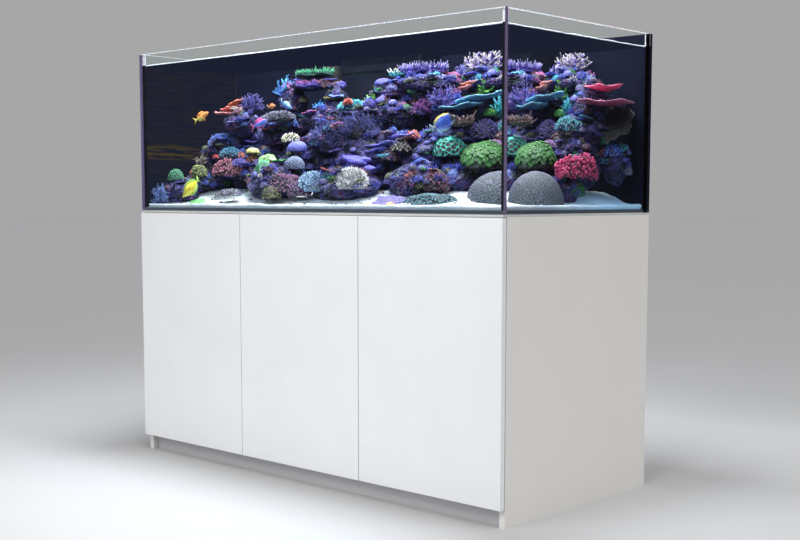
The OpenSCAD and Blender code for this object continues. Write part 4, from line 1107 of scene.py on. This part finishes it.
def scatter(skins, rng):
    """Small colonies all over the rocks, gathered into a few pieces by what they are."""
    growths = [Growth() for _ in SMALL_GROWTH]
    found, ways = perches(skins, 1200, rng)
    kinds = rng.choice(4, len(found), p=[share for _, share, _, _ in SMALL_GROWTH])
    tints = rng.choice(len(SMALL_TINTS), len(found), p=TINT_SHARES / TINT_SHARES.sum())
    for spot, way, kind, which in zip(found / mm, ways, kinds, tints):
        root, tip = SMALL_TINTS[which]
        growth = growths[kind]
        if kind == 0:
            crown = rng.uniform(12, 26)
            bush(growth, rng, spot, crown, crown * 0.85, root, tip, 16, 2.2, 3, way[:2] * 0.5)
        elif kind == 1:
            size = np.array([1, 0.9, 0.8]) * rng.uniform(10, 22)
            knobs(growth, rng, spot, size, rng.uniform(3.2, 5.5), root, tip)
        elif kind == 2:
            radius = rng.uniform(14, 28)
            tilt = rng.uniform(-0.2, 0.2, 2)
            plate(growth, rng, spot + way * 12, radius, 4, root, tip, tilt, 1, 3)
        else:
            size = np.array([1, 1, 0.8]) * rng.uniform(10, 20)
            cells(growth, rng, spot, size, 5, tip, root, 3, 1.2)
    for growth, (name, _, slot, replaced) in zip(growths, SMALL_GROWTH):
        colony(growth, name, CORAL, slot, replaced)


# ---- fish

# Shares of a fish's length
FIN_HALF = 0.008
EYE = 0.032
PUPIL = 0.022
EYE_FROM_NOSE = 0.13


def swimmer(name, place, length, heading, pitch, outline, thick, fins, shade):
    """A fish: a lofted body, thin closed fins and two eyes. Shares of its length, nose at +x.

    outline holds x, lowest z and highest z along the body. fins holds outlines in x and z. shade gives
    the colours at x and z.
    """
    growth = Growth()
    heading, pitch = math.radians(heading), math.radians(pitch)
    ahead = np.array([math.cos(heading) * math.cos(pitch), math.sin(heading) * math.cos(pitch),
                      math.sin(pitch)])
    aside = np.array([-math.sin(heading), math.cos(heading), 0])
    turn = np.stack([ahead, aside, np.cross(ahead, aside)])

    def add(local, faces, tints):
        growth.add(local * length * mm @ turn + metres(place), faces, tints)

    def shaded(local, is_fin):
        return shade(local[:, 0], local[:, 2], is_fin)

    rings, sides = 26, 14
    x, low, high = np.array(outline).T
    t = np.linspace(x[0], x[-1], rings)
    low, high = np.interp(t, x, low), np.interp(t, x, high)
    half = (high - low) / 2
    wide = thick * np.sqrt(np.clip(half / half.max(), 0, 1)) * (0.35 + 0.65 * half / half.max())
    angle = 2 * np.pi * np.arange(sides) / sides
    body = np.stack(np.broadcast_arrays(t[:, None], wide[:, None] * np.cos(angle),
                                        (low + half)[:, None] + half[:, None] * np.sin(angle)), -1)
    body = body.reshape(-1, 3)
    add(body, tube_faces(rings, sides), shaded(body, False))
    for fin in fins:
        middle = np.array(fin)[:, [0, 0, 1]] * np.array([1, 0, 1])
        slab = np.concatenate([middle + np.array([0, FIN_HALF, 0]), middle - np.array([0, FIN_HALF, 0])])
        add(slab, tube_faces(2, len(fin)), shaded(slab, True))
    eye_x = x[-1] - EYE_FROM_NOSE
    eye_y = np.interp(eye_x, t, wide) * 0.9
    eye_z = np.interp(eye_x, t, low + half) + 0.03
    points, faces = ball(2)
    for way in (-1, 1):
        add(points * EYE + np.array([eye_x, way * eye_y, eye_z]), [faces], (0.8, 0.7, 0.3))
        add(points * PUPIL + np.array([eye_x, way * (eye_y + EYE / 2), eye_z]), [faces],
            (0.005, 0.005, 0.01))
    growth.make(name, SCALES, "fish_skin", "fish")


def chosen(base, *rules):
    """Colours each point: the base, then each rule's colour where its test holds."""
    tints = np.tile(np.array(base, float), (len(rules[0][0]), 1))
    for test, colour in rules:
        tints[test] = colour
    return tints


def tang_tint(x, z, is_fin):
    blue, yellow, pale = (0.02, 0.10, 0.62), (0.95, 0.75, 0.10), (0.35, 0.65, 0.90)
    if is_fin:
        return chosen(pale, (z > 0.12, yellow), (x < -0.42, (0.5, 0.75, 0.95)))
    return chosen(blue, (z > 0.205, yellow), (x > 0.24, (0.008, 0.012, 0.06)),
                  ((x > 0.2) & (z < -0.09), pale), (x < -0.36, yellow))


def yellow_tint(x, z, is_fin):
    yellow, green = (0.95, 0.80, 0.01), (0.30, 0.65, 0.06)
    return chosen(green if is_fin else yellow, ((x > 0.1) & is_fin, yellow))


def antler_tint(x, z, is_fin):
    orange, yellow = (0.95, 0.30, 0.03), (0.95, 0.72, 0.08)
    return chosen(yellow, ((x > 0.05) | (z > 0.04), orange), (x < -0.3, yellow))


def small_tint(x, z, is_fin):
    return chosen((0.90, 0.28, 0.06), (x < -0.3, (0.95, 0.55, 0.15)))


def cyan_tint(x, z, is_fin):
    return chosen((0.10, 0.45, 0.85), (z > 0.05, (0.60, 0.80, 0.90)), (z < -0.08, (0.05, 0.12, 0.5)))


def violet_tint(x, z, is_fin):
    magenta = (0.75, 0.06, 0.35)
    body = magenta if is_fin else (0.08, 0.16, 0.70)
    nose = magenta if is_fin else (0.2, 0.25, 0.8)
    return chosen(body, (z > 0.07, magenta), (x > 0.3, nose))


DISC_BODY = [(-0.40, -0.03, 0.03), (-0.33, -0.07, 0.07), (-0.2, -0.19, 0.19), (-0.02, -0.27, 0.27),
             (0.15, -0.27, 0.27), (0.28, -0.20, 0.20), (0.38, -0.11, 0.12), (0.47, -0.05, 0.03),
             (0.50, -0.02, 0.0)]
TANG_BODY = [(x, low * 0.80, high * 0.80) for x, low, high in DISC_BODY]
YELLOW_BODY = [(x, low * 0.68, high * 0.68) for x, low, high in DISC_BODY]
TANG_FINS = [
    [(-0.38, 0.04), (-0.33, 0.15), (-0.18, 0.24), (0.08, 0.26), (0.24, 0.20), (0.28, 0.14), (0.0, 0.15)],
    [(0.12, -0.15), (0.16, -0.23), (0.0, -0.28), (-0.2, -0.25), (-0.31, -0.16), (-0.36, -0.04)],
    [(-0.38, 0.03), (-0.38, -0.03), (-0.52, -0.15), (-0.47, 0.0), (-0.52, 0.15)],
]
SLIM_BODY = [(-0.34, -0.03, 0.03), (-0.2, -0.09, 0.08), (0.0, -0.15, 0.14), (0.2, -0.16, 0.15),
             (0.36, -0.11, 0.10), (0.46, -0.05, 0.04), (0.5, -0.02, 0.01)]
SLIM_FINS = [
    [(-0.25, 0.06), (-0.24, 0.17), (-0.05, 0.24), (0.15, 0.25), (0.25, 0.14), (0.0, 0.1)],
    [(0.02, -0.12), (-0.02, -0.22), (-0.18, -0.19), (-0.27, -0.06)],
    [(-0.32, 0.03), (-0.32, -0.03), (-0.54, -0.20), (-0.44, 0.0), (-0.54, 0.20)],
    [(0.18, -0.12), (0.16, -0.26), (0.04, -0.27), (0.08, -0.12)],
]


def make_fish():
    swimmer("fish_tang", (465, -180, 1035), 88, 42, 22, TANG_BODY, 0.085, TANG_FINS, tang_tint)
    swimmer("fish_yellow", (-540, -280, 865), 90, 222, -40, YELLOW_BODY, 0.08, TANG_FINS, yellow_tint)
    swimmer("fish_orange", (-575, -150, 1095), 66, 35, 25, SLIM_BODY, 0.09, SLIM_FINS, antler_tint)
    swimmer("fish_small", (-210, -190, 1110), 34, 10, 5, SLIM_BODY, 0.09, SLIM_FINS, small_tint)
    swimmer("fish_violet", (-265, -190, 1060), 66, 40, 20, SLIM_BODY, 0.09, SLIM_FINS, violet_tint)
    swimmer("fish_cyan", (-145, -190, 1110), 48, 42, -28, SLIM_BODY, 0.08, SLIM_FINS, cyan_tint)


# ---- water

def make_water(x, front, back):
    """Water up to the weir's teeth, with a notch that ends inside the overflow box's walls."""
    wall = 3 * mm
    weir_x, weir_y = weir_high.x - wall, weir_low.y + wall
    outline = [(-x, front), (x, front), (x, back), (weir_x, back), (weir_x, weir_y),
               (-weir_x, weir_y), (-weir_x, back), (-x, back)]
    growth = Growth()
    points = np.array([(*corner, z) for z in (FLOOR + 3 * mm, WATER_LEVEL) for corner in outline])
    growth.add(points, tube_faces(2, len(outline)), (0.6, 0.8, 0.9))
    growth.make("water", WATER, "clear_glass", smooth=False)


def make_waterline(x, front, back):
    """The line where the water creeps up the front and right panes, coloured pale: a painted highlight
    where the water's edge catches the light.
    """
    tall, deep, steps = 3.4 * mm, 2.2 * mm, 60
    base = np.full(steps, WATER_LEVEL - 0.8 * mm)
    t = np.linspace(0, 1, steps)[:, None]
    wave = 1 + 0.25 * np.sin(37 * t) * np.sin(11 * t)
    growth = Growth()
    for line in (((-x, front), (x, front), (0, 1)), ((x, front), (x, back), (-1, 0))):
        start, end, inward = (np.array(part, float) for part in line)
        along = start + (end - start) * t
        rows = [np.column_stack([along, base]), np.column_stack([along + inward * deep * wave, base]),
                np.column_stack([along + inward * 0.3 * mm, base + tall * wave[:, 0]])]
        growth.add(np.stack(rows, axis=1).reshape(-1, 3), tube_faces(steps, 3), (0.9, 0.93, 0.96))
    growth.make("waterline", WATERLINE, "clear_glass")


# ---- build the contents

rng = np.random.default_rng(11)
make_sand()
skins = make_rocks()
make_colonies(rng)
scatter(skins, rng)
pebbles(rng)
make_fish()

# The water stops a hair short of the panes, and enters the dark back pane
HAIR = 0.2 * mm
water_room = (INSIDE_X - HAIR, INSIDE_FRONT + HAIR, INSIDE_BACK + 2 * mm)
make_water(*water_room)
make_waterline(*water_room)

# ---- room and lights

def make_room():
    """A wide pale floor, and a world that is pale to look at but dim as a light."""
    mesh = bpy.data.meshes.new("floor")
    wide = 50
    corners = [(-wide, -wide, 0), (wide, -wide, 0), (wide, wide, 0), (-wide, wide, 0)]
    mesh.from_pydata(corners, [], [(0, 1, 2, 3)])
    floor = add_object("floor", mesh)
    material, tree, shader = fresh_material("floor")
    cloud = noise(tree, place_of(tree), 1.5, 3)
    give(shader, Base_Color=mixed(tree, cloud, (0.51, 0.51, 0.51), (0.53, 0.53, 0.53)), Roughness=0.8,
         Specular_IOR_Level=0.2)
    mesh.materials.append(material)
    world = bpy.data.worlds.new("room")
    bpy.context.scene.world = world
    world.use_nodes = True
    tree = world.node_tree
    path = node(tree, "ShaderNodeLightPath").outputs
    lighting = mixed(tree, path["Is Glossy Ray"], (0.25, 0.255, 0.27), (0.03, 0.03, 0.035))
    seen = mixed(tree, path["Is Camera Ray"], lighting, (0.386, 0.386, 0.390))
    give(tree.nodes["Background"], Color=seen)


def add_light(name, kind, way, **settings):
    """A soft lamp that shines along way."""
    data = bpy.data.lights.new(name, kind)
    for key, value in settings.items():
        setattr(data, key, value)
    made = add_object(name, data)
    made.rotation_mode = "QUATERNION"
    made.rotation_quaternion = Vector(way).to_track_quat("-Z", "Y")
    return made


def lamp(name, place, aim, size, power, cone, colour=(1, 1, 1)):
    """A rectangular lamp that points at aim and isn't seen itself."""
    made = add_light(name, "AREA", Vector(aim) - Vector(place), shape="RECTANGLE", size=size[0],
                 size_y=size[1], energy=power, color=colour, spread=math.radians(cone))
    made.location = place
    made.visible_camera = False


make_room()
add_light("key", "SUN", (0.35, 0.80, -0.50), energy=0.75, angle=math.radians(30))
lamp("front", (0.9, -2.9, 2.9), (0.35, -0.3, 1.45), (1.8, 1.4), 12.5, 75)
add_light("top", "SUN", (-0.55, 0.10, -0.85), energy=1.55, angle=math.radians(50))
lamp("reef_light", (0, -0.05, 2.1), (0, -0.05, 1.0), (1.35, 0.5), 38, 120, (0.93, 0.96, 1.0))
bpy.context.scene.view_settings.view_transform = "Standard"
